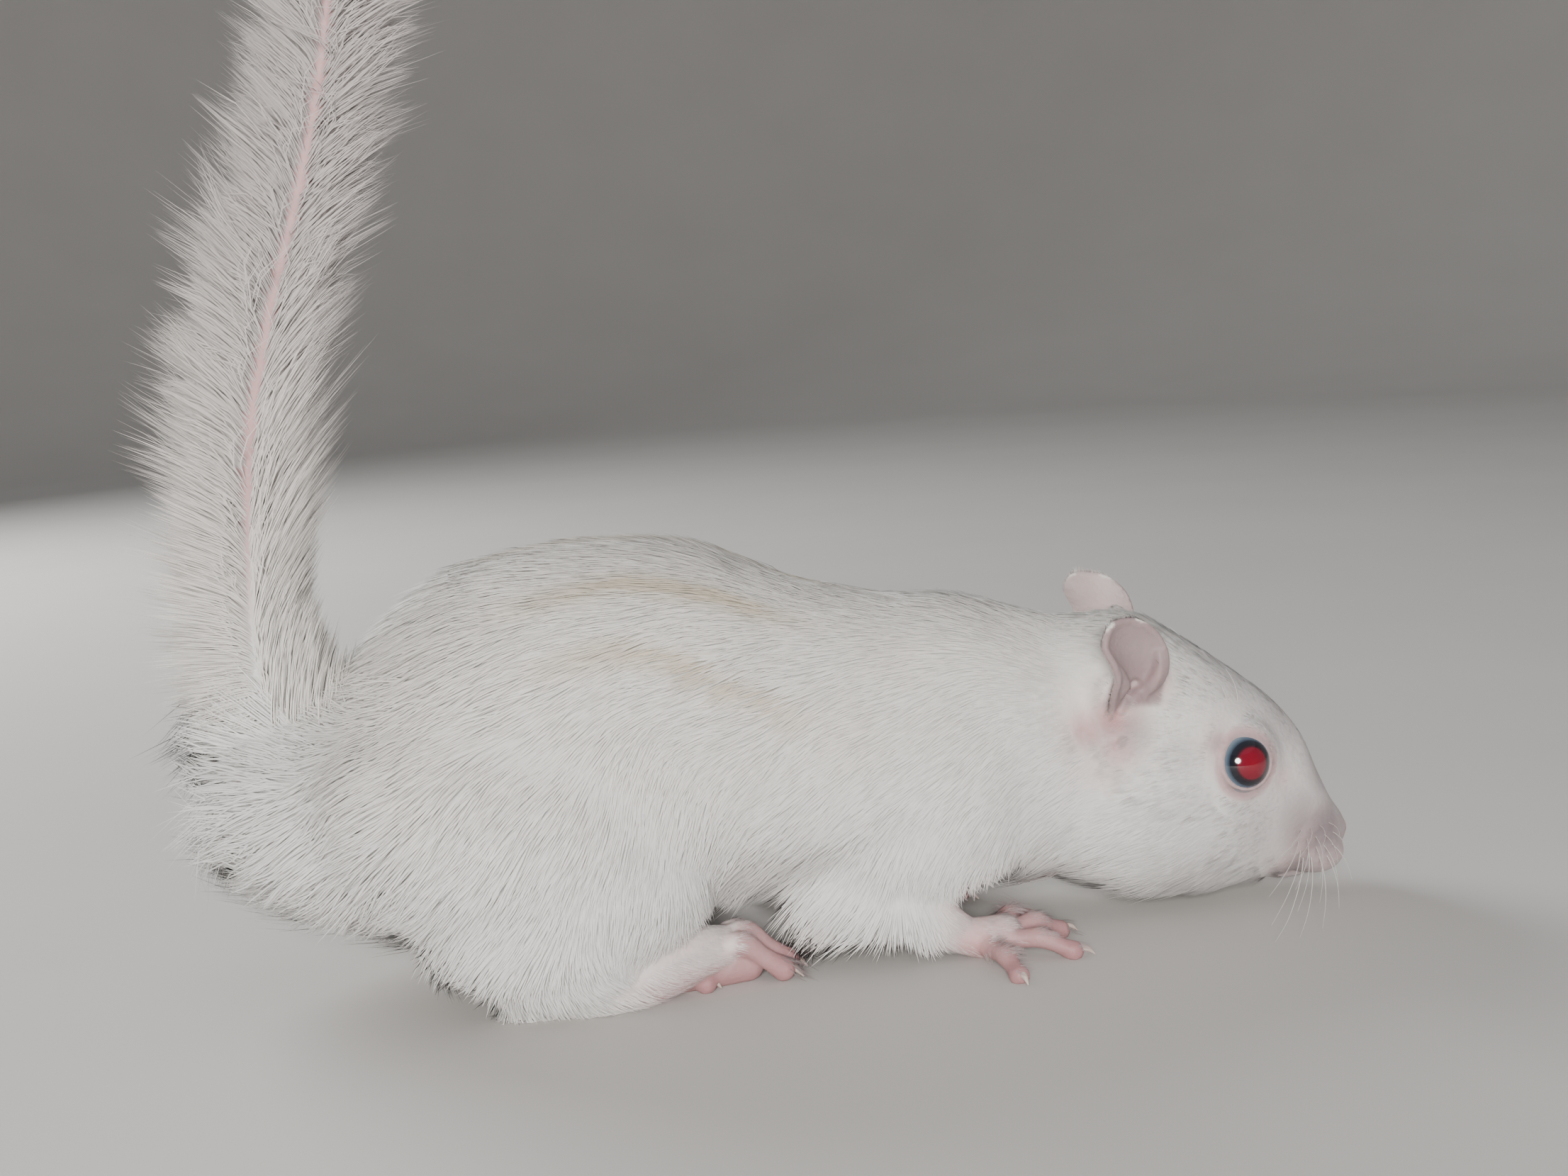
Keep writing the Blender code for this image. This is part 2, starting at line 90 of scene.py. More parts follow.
# Each row of an outline: upper or front edge x, z, lower or rear edge x, z, half width, and where
# between the two edges the section is widest (0 = lower or rear edge).
TRUNK = (
    (-36.5, 26.5, -37, 22, 4, 0.5), (-34, 31.5, -35.5, 17, 10, 0.5),
    (-28.5, 35.5, -29.5, 11.8, 15.5, 0.45), (-20, 38.5, -20, 7.8, 20, 0.42),
    (-11.5, 47.3, -11, 5.2, 23.5, 0.38), (-2, 52.5, 0, 5.5, 25.5, 0.36), (12, 54.4, 12, 6, 25, 0.38),
    (26, 52.8, 26, 7.4, 22.6, 0.4), (39, 47.3, 39, 6.8, 20.4, 0.4), (50, 44.6, 50, 6.3, 19.2, 0.4),
    (59.5, 43.4, 60, 5.2, 17.2, 0.42), (68, 40.9, 68, 3.8, 15.2, 0.43), (76, 38.4, 76, 4, 12.6, 0.45),
)
HEAD = (
    (68, 39.8, 68, 6, 12, 0.45), (73, 39.4, 73, 3.2, 13.6, 0.42), (79, 39.4, 79, 1.6, 14.3, 0.4),
    (84, 38.1, 84, 1, 14.2, 0.37), (88.8, 34.9, 89, 0.9, 13, 0.37), (94.1, 31, 94.1, 1.7, 11, 0.38),
    (98.8, 26.9, 98.4, 2.2, 8.7, 0.38), (102.6, 22.1, 101.8, 3.1, 6.7, 0.4),
    (104.9, 16.7, 104, 4.1, 5.4, 0.42), (106.7, 12.8, 105.4, 4.6, 4.6, 0.42),
    (108.2, 10.4, 106.8, 5.1, 3.5, 0.45), (108.9, 8.6, 108.1, 6.2, 1.6, 0.5),
)
TAIL = (
    (-20, 30, -35, 28, 8, 0.5), (-18.8, 39.5, -40.5, 36.5, 10.5, 0.5), (-17, 47, -43.2, 46, 12, 0.55),
    (-15.2, 57, -43.6, 56.5, 13.2, 0.55), (-14.6, 70, -42.4, 70, 13.6, 0.6),
    (-12.6, 82, -39.4, 83.5, 13.6, 0.65), (-8.2, 94, -34.6, 96, 13.6, 0.55),
    (-3.2, 105.5, -29.6, 108, 13.4, 0.5), (0.6, 116, -26, 118.5, 12.8, 0.45),
    (1.4, 127, -23, 128.5, 11.3, 0.45), (-1.2, 137, -19.6, 138, 8.2, 0.45),
    (-5.8, 143.5, -15, 144, 4.4, 0.5), (-8.8, 146.4, -11.8, 146.5, 1.4, 0.5),
)
# The bony tail inside its hair: x, z and radius
TAIL_CORE = (
    (-26, 27, 8), (-27.2, 33, 6.8), (-28.4, 39, 5), (-28.9, 46, 3.4), (-28.4, 57, 2.5),
    (-26.8, 70, 2.1), (-23.4, 83, 1.9), (-19.4, 95, 1.8), (-15.8, 107, 1.6), (-13.6, 117, 1.4),
    (-12.2, 127, 1.1), (-11.4, 135, 0.7),
)
# The ear flap from its root to its tip: rear edge x, front edge x, height, distance of the
# middle from the animal's mid plane, and how far the rims curl out of it.
EAR = (
    (76.6, 80, 26.2, 10.4, 0), (76, 80.9, 28.6, 11.2, 0.2), (75.5, 81.8, 30.8, 11.8, 0.7),
    (75.3, 82.4, 32.8, 12.1, 1.4), (75.4, 82.8, 34.6, 12.1, 1.9), (74.8, 82.8, 36.6, 12.2, 1.9),
    (74, 82.2, 38.6, 12.5, 1.5), (74.8, 80.9, 40.2, 12.9, 0.9), (76.4, 79, 41.2, 13.1, 0.3),
)
EAR_TURN = math.radians(28)  # the flap's hollow side looks this far forward of sideways
EAR_THICKNESS = 0.75
EAR_COLUMNS = 16
REAR_RIM = 0.5  # radius of the rolled rim behind, and in front
FRONT_RIM = 0.45
# Folds of the flap, at its front rim and at its root: height, place across the flap (-1 to 1),
# lift off it, and radius.
EAR_FOLDS = (
    ((36.6, 0.82, 0.3, 0.6), (34.8, 0.80, 0.4, 0.9), (32.8, 0.66, 0.4, 1.0), (31.0, 0.42, -0.1, 0.9)),
    ((35.6, -0.80, 0.2, 0.55), (33.6, -0.50, 0.3, 0.8), (31.4, -0.25, 0.1, 0.9),
     (29.0, -0.20, -0.6, 0.9)),
)
# Rounded masses: middle, half sizes, pitch in degrees, which lowers the front, and how much of
# the left paw's lead the left one takes up.
HEAD_MASSES = (
    ((82, 6.6, 12.6), (11, 7.3, 10), 0, 0),  # jowl
    ((92.6, 7, 21.6), (6.6, 4.1, 5.6), 35, 0),  # brow
    ((102, 2.6, 8.5), (5.8, 3.3, 3.5), 16, 0),  # lip
    ((77.6, 11.1, 29.6), (4.2, 2.5, 5), 0, 0),  # root of the ear
    ((81.8, 9.3, 34), (2.2, 2.6, 4.2), -20, 0),  # ahead of the ear
)
FACE_MASSES = (
    ((107, 1.35, 8.3), (1.75, 1.75, 2.1), 15, 0),  # wing of the nostril
    ((103.3, 2.6, 6.6), (4.9, 3, 3.5), 18, 0),  # whisker pad
    ((100, 0.8, 3.6), (4.6, 1.9, 1.9), 4, 0),  # chin
)
HIND_MASSES = (
    ((4.6, 19.8, 5.8), (10.8, 5.6, 5.6), 2, 1),  # fur over the rear of the foot
    ((1.5, 15.2, 22.5), (23.5, 13, 16.5), 14, 0.5),  # haunch
    ((5, 16.8, 15.5), (19, 10.6, 12.5), 4, 0.75),  # stifle
    ((3.5, 18, 11.6), (15.5, 9, 10.4), 4, 1),  # shank
    ((4, 17.4, 8.6), (9.5, 7.6, 7.8), 0, 1),  # fur over the heel
)
FORE_MASSES = (
    ((53, 11.2, 21), (14, 7.9, 14.5), 20, 0.5),  # shoulder
    ((47.5, 12.8, 14.5), (10.5, 6.6, 9.5), -12, 1),  # upper arm
    ((41, 13.6, 9.2), (8.5, 5.4, 6.2), -10, 1),  # elbow
)
# Limbs: x, y, z and radius
FOREARM = ((42, 14.6, 8, 5.2), (48, 15.2, 6.2, 4), (53, 15.4, 3.6, 2.8))
PALM = ((49, 15.2, 5.4, 2.9), (53, 15.5, 3.5, 2.3), (56, 15.7, 2.8, 2.6), (58.5, 15.6, 2.7, 2.7))
SOLE = ((-1, 19.2, 2.4, 2), (3, 19.4, 2.8, 2.6), (8, 19.6, 3.6, 3.6), (14, 18.4, 4.3, 4.1),
        (19, 16.7, 4.9, 3.7), (23.5, 15, 4.9, 2.9), (27, 13.9, 4.8, 2))
FOOT_PADS = ((17, 15.6, 2.9, 2.8), (22, 15, 3, 3), (26.8, 14.6, 2.4, 2.2))

# Each toe's root, knuckle, end at the root of its claw, and the claw's tip
FRONT_TOES = (
    ((57.5, 13, 2.6), (61.5, 8.8, 2.9), (64.2, 6.2, 1.2), (66.2, 4.4, 0.25)),
    ((58.5, 15, 2.9), (63.5, 13.4, 3.3), (67, 12.2, 1.3), (69.5, 11.4, 0.25)),
    ((58.5, 17, 2.8), (62.8, 18.6, 3), (66.4, 19.7, 1.3), (69, 19.9, 0.25)),
    ((56.4, 18, 2.4), (57.4, 21.8, 2.4), (58, 25.2, 1.2), (58.5, 27.2, 0.25)),
)
HIND_TOES = (
    ((16.5, 13.4, 3.4), (20.4, 11.4, 3.6), (23.4, 10.4, 1.6), (25.2, 9.8, 0.25)),
    ((20, 14, 4.8), (26.2, 12, 5.9), (30.8, 11, 2), (33, 10.4, 0.25)),
    ((20, 15.4, 5), (26.8, 14.2, 6.3), (32, 13.6, 2), (34.4, 13.2, 0.25)),
    ((19.5, 16.8, 4.6), (26, 16.6, 5.8), (31, 16.4, 1.9), (33.4, 16.4, 0.25)),
    ((15, 17, 3.2), (18.8, 17.5, 3), (21.4, 17.4, 1.5), (23.2, 17.2, 0.25)),
)
FRONT_TOE_RADIUS = 1.24
HIND_TOE_RADIUS = 1.42
OUTER_TOE_SLIM = 0.88  # the first and last toe of a hind foot are thinner by this
TOE_GIRTHS = (1.15, 0.95, 1.06, 0.84, 1.08)  # from the root over the knuckle to the fingertip
HIND_PADS = ((16, 16, 1.8), (22, 14.8, 2), (27, 14.2, 1.4))  # bare skin under a hind foot
LEFT_FOREFOOT_LEAD = -5.5  # less than 0: the left paw stands behind the right one
LEFT_HIND_FOOT_LEAD = -8.5
SOLE_DEPTH = 0.5  # how far the feet are pressed into the floor
CLAW_ARCH = 0.75  # how high a claw's middle stands over its ends
CLAW_RADII = (0.62, 0.5, 0.38, 0.12)

# Rows of whisker roots in the straight head: x of the first and last, z, and how many.
WHISKER_ROWS = ((101.4, 105.6, 10.4, 4), (101.0, 106.2, 9.0, 5), (101.4, 106.0, 7.5, 5),
                (102.0, 105.2, 6.1, 4))
BROW_WHISKERS = ((91.6, 29.0), (93.2, 28.4))
WHISKER_LENGTH = 17.0  # of the rearmost in each row; each one ahead is shorter
WHISKER_SHORTENING = 2.4

# Folds of the straight head seen from its side: path of (x, z), half width, and rise.
SIDE_FOLDS = (
    (((101.4, 10.6), (104.0, 11.6), (106.6, 11.3)), 0.8, -0.12),  # over the whisker pad
    (((98.6, 1.6), (98.0, 3.8), (97.1, 6.4)), 0.9, -0.20),  # corner of the mouth
    (((106.3, 9.6), (103.6, 9.3), (101.0, 8.4)), 0.3, -0.05),  # rows of whisker roots
    (((106.3, 8.0), (103.6, 7.6), (101.0, 6.6)), 0.3, -0.05),
    (((105.8, 6.6), (103.4, 6.0), (101.2, 5.0)), 0.3, -0.05),
    (((89.8, 17.4), (91.6, 15.2), (94.2, 14.6), (96.6, 16.2)), 0.7, -0.06),  # under the eye
    (((89.6, 23.6), (91.2, 25.8), (94.0, 26.6)), 0.7, -0.08),  # over the eye
    (((96.9, 18.8), (98.4, 17.6), (99.6, 15.4)), 0.8, -0.12),  # in front of the eye
    (((77.6, 26.0), (76.8, 25.2)), 0.4, -0.30),  # slit under the ear
    (((72.6, 27.0), (74.2, 23.6), (76.8, 21.2)), 0.7, -0.22),  # behind the ear
    (((73.8, 23.2), (75.6, 20.2), (78.4, 18.4)), 0.7, -0.16),
    (((79.5, 33.0), (78.3, 31.4), (77.4, 29.8)), 0.5, -0.65),  # hollow of the ear
)
SIDE_FOLD_DEPTH = 1.4  # all of them are deepened by this
# Folds given in space: path of (x, y, z), half width, and rise.
DEEP_FOLDS = (
    (((108.9, 0.0, 9.6), (108.8, 0.0, 7.6), (107.9, 0.0, 6.0),
      (106.9, 0.0, 5.0)), 0.32, -0.22),  # groove under the nose
    (((108.7, 0.9, 8.2), (108.2, 1.7, 7.9), (107.4, 2.4, 8.7)), 0.34, -0.75),  # nostril
    (((107.0, 0.0, 4.9), (105.6, 1.6, 4.3), (103.4, 2.7, 3.1), (100.8, 3.3, 2.3),
      (98.4, 4.1, 3.2)), 0.34, -0.55),  # lips
)

# ------ the coat
# Place, the way the hair is combed there, the coat's depth, hair length and tuft width.
BODY_COAT = (
    (66, 0, 41, -1, 0, 0.1, 1.2, 4.6, 0.2), (48, 0, 45, -1, 0, 0.05, 1.3, 5.2, 0.22),
    (30, 0, 52, -1, 0, 0.1, 1.4, 5.6, 0.23), (8, 0, 54, -1, 0, -0.15, 1.5, 6, 0.23),
    (-10, 0, 48, -0.95, 0, -0.3, 1.6, 6.4, 0.22), (-18, 6, 41, -0.8, 0, 0.25, 1.8, 6.6, 0.21),
    (-22, 7, 37, -0.5, 0, 0.8, 2, 7.6, 0.2), (-26, 11, 34, -0.75, 0, 0.55, 2.4, 8.4, 0.2),
    (-33, 5, 30, -0.9, 0, 0, 3.2, 10, 0.2), (-34, 6, 22, -0.9, 0, -0.3, 3.2, 10, 0.2),
    (-20, 15, 27, -0.85, 0.1, -0.45, 2, 7.4, 0.23), (-30, 10, 13, -0.8, 0, -0.6, 3.2, 9.5, 0.2),
    (-22, 10, 8, -0.65, 0, -0.8, 3, 8.6, 0.2), (-12, 10, 6, -0.6, 0, -0.8, 2.6, 7.4, 0.21),
    (28, 19, 38, -1, 0.1, -0.25, 1.4, 5.8, 0.23), (48, 17, 34, -1, 0.1, -0.3, 1.3, 5.4, 0.22),
    (38, 20, 24, -0.85, 0, -0.5, 1.5, 6, 0.23), (30, 17, 13, -0.65, 0, -0.75, 1.9, 7, 0.22),
    (36, 10, 7, -0.6, 0, -0.8, 2.4, 7.6, 0.2), (30, 0, 6, -1, 0, -0.2, 2.2, 6.5, 0.23),
    (0, 20, 41, -0.9, 0.2, -0.35, 1.4, 6, 0.23), (0, 26, 26, -0.65, 0, -0.75, 1.4, 6, 0.23),
    (18, 23, 24, -0.35, 0, -0.95, 1.3, 5.6, 0.22), (14, 22, 10, -0.4, 0, -0.9, 1.1, 4.4, 0.19),
    (0, 25, 12, -0.6, 0, -0.8, 1.2, 5.2, 0.21), (-12, 19, 10, -0.75, 0, -0.65, 1.8, 6.6, 0.22),
    (-7, 20, 4.5, -0.8, 0, -0.4, 1.1, 4.4, 0.19), (2, 22, 4, 0.3, 0, -0.8, 0.9, 3.8, 0.17),
    (9, 21, 5, 0.8, 0, -0.5, 0.45, 2.9, 0.13), (15, 19, 6, 1, 0, -0.2, 0.24, 2.2, 0.11),
    (19, 16, 7.5, 1, 0, -0.2, 0.2, 1.8, 0.1), (26, 14.5, 7, 1, 0, -0.3, 0.14, 1.3, 0.09),
    (55, 16, 26, -0.85, 0.1, -0.5, 1.3, 5.2, 0.21), (54, 17, 15, -0.6, 0, -0.8, 1.3, 4.8, 0.2),
    (41, 17, 9, -0.7, 0, -0.75, 1.9, 6.4, 0.2), (48, 17, 7, 0.1, 0, -0.95, 1, 3.6, 0.17),
    (53, 16.5, 4.5, 0.75, 0, -0.5, 0.4, 1.9, 0.11), (56, 16, 5, 0.95, 0, -0.2, 0.28, 2, 0.1),
    (61, 15, 4.5, 0.95, 0, -0.2, 0.18, 1.5, 0.09), (64, 5, 7, -0.65, 0, -0.75, 1.8, 6.2, 0.2),
    (68, 13, 22, -0.95, 0, -0.35, 1.2, 4.6, 0.2),
)
# The same in the straight head.
HEAD_COAT = (
    (109, 0, 8.5, -0.6, 0.3, 0.6, 0, 0.4, 0.05), (107, 2.5, 8, -0.8, 0.3, 0.4, 0.02, 0.6, 0.06),
    (106.5, 0, 14, -0.4, 0, 0.9, 0.12, 0.8, 0.07), (103.5, 0, 20, -0.5, 0, 0.85, 0.2, 1.2, 0.09),
    (98, 0, 27.5, -0.7, 0, 0.7, 0.3, 1.8, 0.1), (91, 0, 33, -0.85, 0, 0.5, 0.4, 2.3, 0.12),
    (83, 0, 38, -1, 0, 0.2, 0.5, 2.9, 0.14), (75, 0, 39.5, -1, 0, 0, 0.9, 3.9, 0.17),
    (86, 9, 32, -0.9, 0.1, 0.25, 0.4, 2.3, 0.12), (95, 7, 27, -0.8, 0.2, 0.5, 0.2, 1.5, 0.1),
    (99, 6, 20, -0.75, 0.35, 0.45, 0.2, 1.3, 0.09), (90, 11, 26, -0.9, 0.2, 0.2, 0.2, 1.4, 0.1),
    (88, 12.5, 20, -1, 0.1, -0.1, 0.3, 2, 0.11), (94, 10.5, 14, -0.95, 0.15, -0.2, 0.3, 1.9, 0.11),
    (104, 4.5, 11, -0.9, 0.3, 0, 0.06, 0.8, 0.07), (101, 6, 8, -0.85, 0.25, -0.35, 0.1, 1.1, 0.08),
    (106.5, 2.5, 5.8, -0.6, 0.2, -0.6, 0.04, 0.7, 0.07),
    (101.5, 2, 3, -0.8, 0.1, -0.55, 0.12, 1.4, 0.09), (96, 3, 2, -0.85, 0, -0.5, 0.4, 2.6, 0.11),
    (92, 6, 4, -0.85, 0, -0.5, 0.6, 3.2, 0.13), (86, 13, 13, -0.9, 0.05, -0.35, 0.5, 3, 0.14),
    (84, 8, 3, -0.75, 0, -0.65, 0.9, 4.6, 0.14), (76, 12, 12, -0.9, 0, -0.45, 0.9, 4.2, 0.17),
    (78, 12, 24.5, -0.95, 0.1, -0.25, 0.25, 1.5, 0.1), (72, 12, 29, -1, 0, -0.15, 0.5, 2.2, 0.12),
    (72, 9, 37, -1, 0, 0, 0.8, 3.4, 0.16), (83, 10, 34, -0.6, 0.1, 0.75, 0.15, 0.9, 0.08),
    (77.5, 12.3, 38.5, -0.2, 0, 1, 0.1, 0.8, 0.06), (78.5, 12.3, 34.5, -0.2, 0, 1, 0.1, 0.8, 0.06),
    (75.5, 13.2, 28.5, -0.8, 0, -0.4, 0.15, 1.2, 0.08), (76, 3, 2.6, -0.8, 0, -0.6, 1.1, 5.4, 0.17),
)
# Hair of the tail by height: how far it leans out of the core, in degrees, in front and behind.
TAIL_LEAN = (
    (34, 28, 92), (40, 31, 80), (46, 34, 70), (57, 35, 62), (70, 37, 62), (83, 41, 64), (95, 48, 64),
    (107, 58, 64), (117, 64, 62), (127, 58, 54), (135, 38, 38), (140, 20, 20),
)
BODY_TUFTS = 145000
TAIL_TUFTS = 24500
SHORT_HAIR = 2.8  # a tuft this short is a straight blade
# Regions of the body's coat: the joints along a tuft, how much of its lift it takes, its share of
# the width, how unevenly its locks catch the light, and the height that its bake map turns about.
REGIONS = {
    "head": ((1.0,), 0.7, 1.1, 0.18, 20),
    "paw": ((1.0,), 0.7, 1.0, 0.10, 26),
    "body": ((0.45, 1.0), 1.0, 0.92, 0.05, 26),
}
HEAD_FROM = 72  # hair ahead of this x of the straight head is the head's
COAT_BLEND = 4.0  # the more, the softer one row of the coat passes into the next
# How the lie of the hair waves with place, so that it is nowhere combed straight
WAVES = ((0.31, 0.17, 0.23), (0.19, -0.27, 0.33), (-0.4, 0.21, 0.5))
WAVE_SIZE = 0.08
WAVE_NOISE = 0.10
TUFT_BEND = 0.3  # a tuft's tip keeps this much of the lift of its root
ROOT_DEPTH = 0.12  # how far a tuft starts under the skin
TUFT_LIFTS = (0.06, 0.75)  # the flattest and steepest, in radians
FLOOR_GAP = 0.15  # tufts stay this far over the floor
SHAGGY = (6.2, 8.5)  # the coat turns shaggy over these lengths
STRAYS = 0.12  # the share of tufts that outgrow the rest
# Locks: how many tufts draw together in one, and how uneven in length it leaves them.
BODY_LOCKS = (9, 0.12)
SHAGGY_LOCKS = (16, 0.25)
FEWEST_SHAGGY = 100  # a region with no more shaggy tufts than this has no shaggy locks
TAIL_LOCKS = (24, 0.34)
TAIL_LOCK_TILT = 0.07
HEAD_STREAKS = 0.34  # how much greyer the greyest locks of the head are
TAIL_BEIGE = 0.22  # the tail's hair is a little warmer, and greyer with height: painted shade
TAIL_SHADE_GREY = 0.50
TAIL_PINK = 0.12
TAIL_REACH = (2.0, 17.5)  # the shortest and longest hair of the tail
TAIL_FRONT_LENGTH = 8.5  # the longest in front at the root; higher up it grows on
TAIL_GROWTH = 9.0
TAIL_WIDTHS = (0.10, 0.15)
TAIL_FRONT_BROADER = 0.35  # by this share of its width, the short hair in front
PARTING_WIDTH = 0.22  # radians of the parting on the tail's right side
PARTING_BARENESS = 0.90
# The most tufts in a piece, by the stations along each: it stays under 200,000 triangles.
PIECE_TUFTS = {2: 48000, 3: 19500, 4: 12000}
PATCH = 0.003  # each tuft's share of the bake map, across
BLADE_SECTION = ((0.5, 0.10), (-0.5, 0.10), (0.0, -0.22))
BLADE_GIRTH = {2: (1.0,), 3: (0.75, 1.0), 4: (0.7, 1.0, 0.8)}  # by the stations of a blade
BLADE_ROUNDNESS = 0.3  # how far the light rounds over a blade's width
BLADE_ROLL = 0.25  # how unevenly blades turn about their own line, in radians

# ------ the markings
# The beige stripes: half width in degrees round the body, and rows of x, the angle from the
# middle of the back, and the strength.
STRIPES = (
    (3.5, ((-6, 0, 0), (6, 0, 0.9), (40, 0, 0.9), (56, 0, 0))),
    (4.5, ((-2, 33, 0), (8, 30, 0.7), (18, 26, 1), (32, 30, 1), (38, 29, 0.5), (46, 30, 0))),
    (4.8, ((2, 52, 0), (9, 49, 0.6), (17, 46, 0.9), (22, 50, 1), (28, 56, 1), (34, 61, 0.9),
           (42, 63, 0))),
)
# Soft spots: middle, radius, and strength
PINK_SPOTS = (
    ((102.6, 5, 8.6), 4.6, 0.62), ((105, 3.4, 6), 3.6, 0.66), ((108.4, 0, 8), 3, 0.9),
    ((100.2, 5.8, 6), 3.6, 0.5), ((100.5, 3.4, 2.6), 2.2, 0.5), ((90.2, 11.5, 24.2), 2.4, 0.6),
    ((98.4, 7.6, 18.2), 1.8, 0.45), ((76.6, 13, 28.6), 3.2, 0.95), ((73.4, 12.6, 27.4), 2.8, 0.8),
    ((77, 13.5, 25.2), 2.8, 0.75), ((82.4, 11.5, 33), 2.4, 0.6), ((75, 13.5, 22.5), 3, 0.4),
)
THIN_SPOTS = (((76, 13, 27.6), 3.4, 1), ((79, 13.4, 25), 2.6, 0.8))  # thin hair under the ear
SHOULDER_SPOTS = (((50, 12.5, 38), 6, 1), ((43, 19, 32), 7, 1))
# Mauve-grey spots: thin-haired skin of the muzzle and ear root, and painted shade darkening the face
# towards the nose bridge, brow, cheek and jaw, round the eye and in the slit under the ear.
MAUVE_AND_SHADE_SPOTS = (
    ((79.6, 12.6, 26.6), 2.6, 0.5), ((84.6, 12.6, 23.6), 3.4, 0.32), ((90, 11.5, 24.4), 1.8, 0.45),
    ((93.4, 12, 20.8), 4.6, 0.48), ((77.4, 13.5, 25.8), 0.7, 0.9), ((86, 12.5, 17), 5, 0.24),
    ((105.2, 4.5, 9.6), 5.6, 1), ((100.6, 6.5, 12), 6.2, 0.72), ((101.4, 4.4, 4.6), 4.6, 0.82),
    ((104.4, 2, 17), 6.6, 0.72), ((96, 9, 12), 8, 0.5), ((90, 11.5, 9), 8, 0.34),
    ((99, 5, 24), 7, 0.56), ((94, 6, 29), 7, 0.42), ((75.4, 13.2, 27), 2.4, 0.3),
)
DEEP_SPOTS = (
    ((80.8, 13.2, 34.4), 1.7, 0.75), ((79.4, 12.8, 32), 1.5, 0.7), ((108.6, 1.8, 8.2), 0.7, 0.85),
)

# ------ the scene
CAMERA_AT = (4.7, -224.3, 81.3)  # in working millimetres
CAMERA_TURNS = ((-8.0, "Z"), (90 - 9.0, "X"), (-3.5, "Z"))  # degrees: aside, down, and rolled
LENS = 41.5  # for a frame 36 mm wide
# Lamps in the frame's metres: place, target, width, power in watts, tint, and whether it shows
# as a glint in the eyes.
LAMPS = (
    ("key", (-0.10, -0.54, 0.19), (-0.02, 0, 0.04), 0.18, 4.2, "#FFFCF9", True),
    ("fill", (0.50, -0.42, 0.18), (0.02, 0, 0.03), 0.16, 0.4, "#F4F6FF", False),
    ("rim", (-0.42, 0.46, 0.36), (-0.02, 0, 0.05), 0.40, 4.6, "#FFFFFF", True),
)
SKY = ("#F2F4F8", 0.34)  # the studio's own light: colour and strength
FLOOR_REACH = 1.0  # metres: the flat floor's radius
FLOOR_CURVE = 0.5  # the radius of its curve up into the wall
WALL_TOP = 1.1

rng = np.random.default_rng(SEED)


# ------ tables and frames

def between(rows):
    """Rows of numbers with a smooth Catmull-Rom curve drawn through them."""
    rows = np.asarray(rows, float)
    last = len(rows) - 1
    smooth = []
    for i in range(last):
        a, b, c, d = (rows[min(max(i + k, 0), last)] for k in (-1, 0, 1, 2))
        for step in range(RINGS_BETWEEN):
            t = step / RINGS_BETWEEN
            smooth.append(0.5 * (2 * b + (c - a) * t + (2 * a - 5 * b + 4 * c - d) * t * t
                                 + (3 * b - a - 3 * c + d) * t ** 3))
    smooth.append(rows[last])
    return np.array(smooth)


def read_off(table, key, at, columns):
    """Columns of a table, read off where its key column has the values of at."""
    return [np.interp(at, table[:, key], table[:, k]) for k in columns]


def head_turn():
    pivot = Matrix.Translation(HEAD_PIVOT)
    return (pivot @ Matrix.Rotation(math.radians(HEAD_YAW), 4, "Z")
            @ Matrix.Rotation(math.radians(HEAD_ROLL), 4, "X") @ pivot.inverted())


def moved(points, matrix):
    """Rows of points under a 4 x 4 matrix."""
    table = np.array(matrix)
    return np.asarray(points) @ table[:3, :3].T + table[:3, 3]


def straightened(points):
    """Places on the turned head as they are in the straight one."""
    return moved(points, HEAD_TURN.inverted())


def on_side(rows, side, lead=0.0):
    """Table rows on one side; on the left they are moved forward by the lead."""
    return [(x + (lead if side > 0 else 0.0), y * side, *rest) for x, y, *rest in rows]


def smoothstep(low, high, value):
    t = np.clip((value - low) / (high - low), 0, 1)
    return t * t * (3 - 2 * t)


def falling(low, high, value):
    return 1 - smoothstep(low, high, value)


def unit(vectors):
    return vectors / np.maximum(np.linalg.norm(vectors, axis=1, keepdims=True), 1e-9)


HEAD_TURN = head_turn()
eye_low, eye_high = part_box("eye_right")
right_eye = moved(on_side([CAD_EYE_AT], -1), HEAD_TURN)[0]
SHIFT = (np.array(eye_low) + np.array(eye_high)) / 2 / MM - right_eye


# ------ forms

def linked(name, data):
    obj = bpy.data.objects.new(name, data)
    bpy.context.scene.collection.objects.link(obj)
    return obj


def new_object(name, bm):
    mesh = bpy.data.meshes.new(name)
    bm.to_mesh(mesh)
    bm.free()
    return linked(name, mesh)


def gathered(forms):
    """One bmesh of all the forms, which are taken away."""
    bm = bmesh.new()
    for form in forms:
        bm.from_mesh(form.data)
        bpy.data.objects.remove(form)
    return bm


def turned(forms, matrix):
    for form in forms:
        form.data.transform(matrix)
    return forms


def lofted(rings):
    """A closed form bridged over rings of points with the same count in each."""
    bm = bmesh.new()
    loops = []
    for ring in rings:
        made = bmesh.ops.create_circle(bm, segments=len(ring), radius=1.0)["verts"]
        for vert, place in zip(made, ring):
            vert.co = place
        loops.append(list({edge for vert in made for edge in vert.link_edges}))
    for low, high in zip(loops, loops[1:]):
        bmesh.ops.bridge_loops(bm, edges=low + high)
    for end in (loops[0], loops[-1]):
        bmesh.ops.contextual_create(bm, geom=end)
    bmesh.ops.recalc_face_normals(bm, faces=bm.faces)
    return new_object("form", bm)


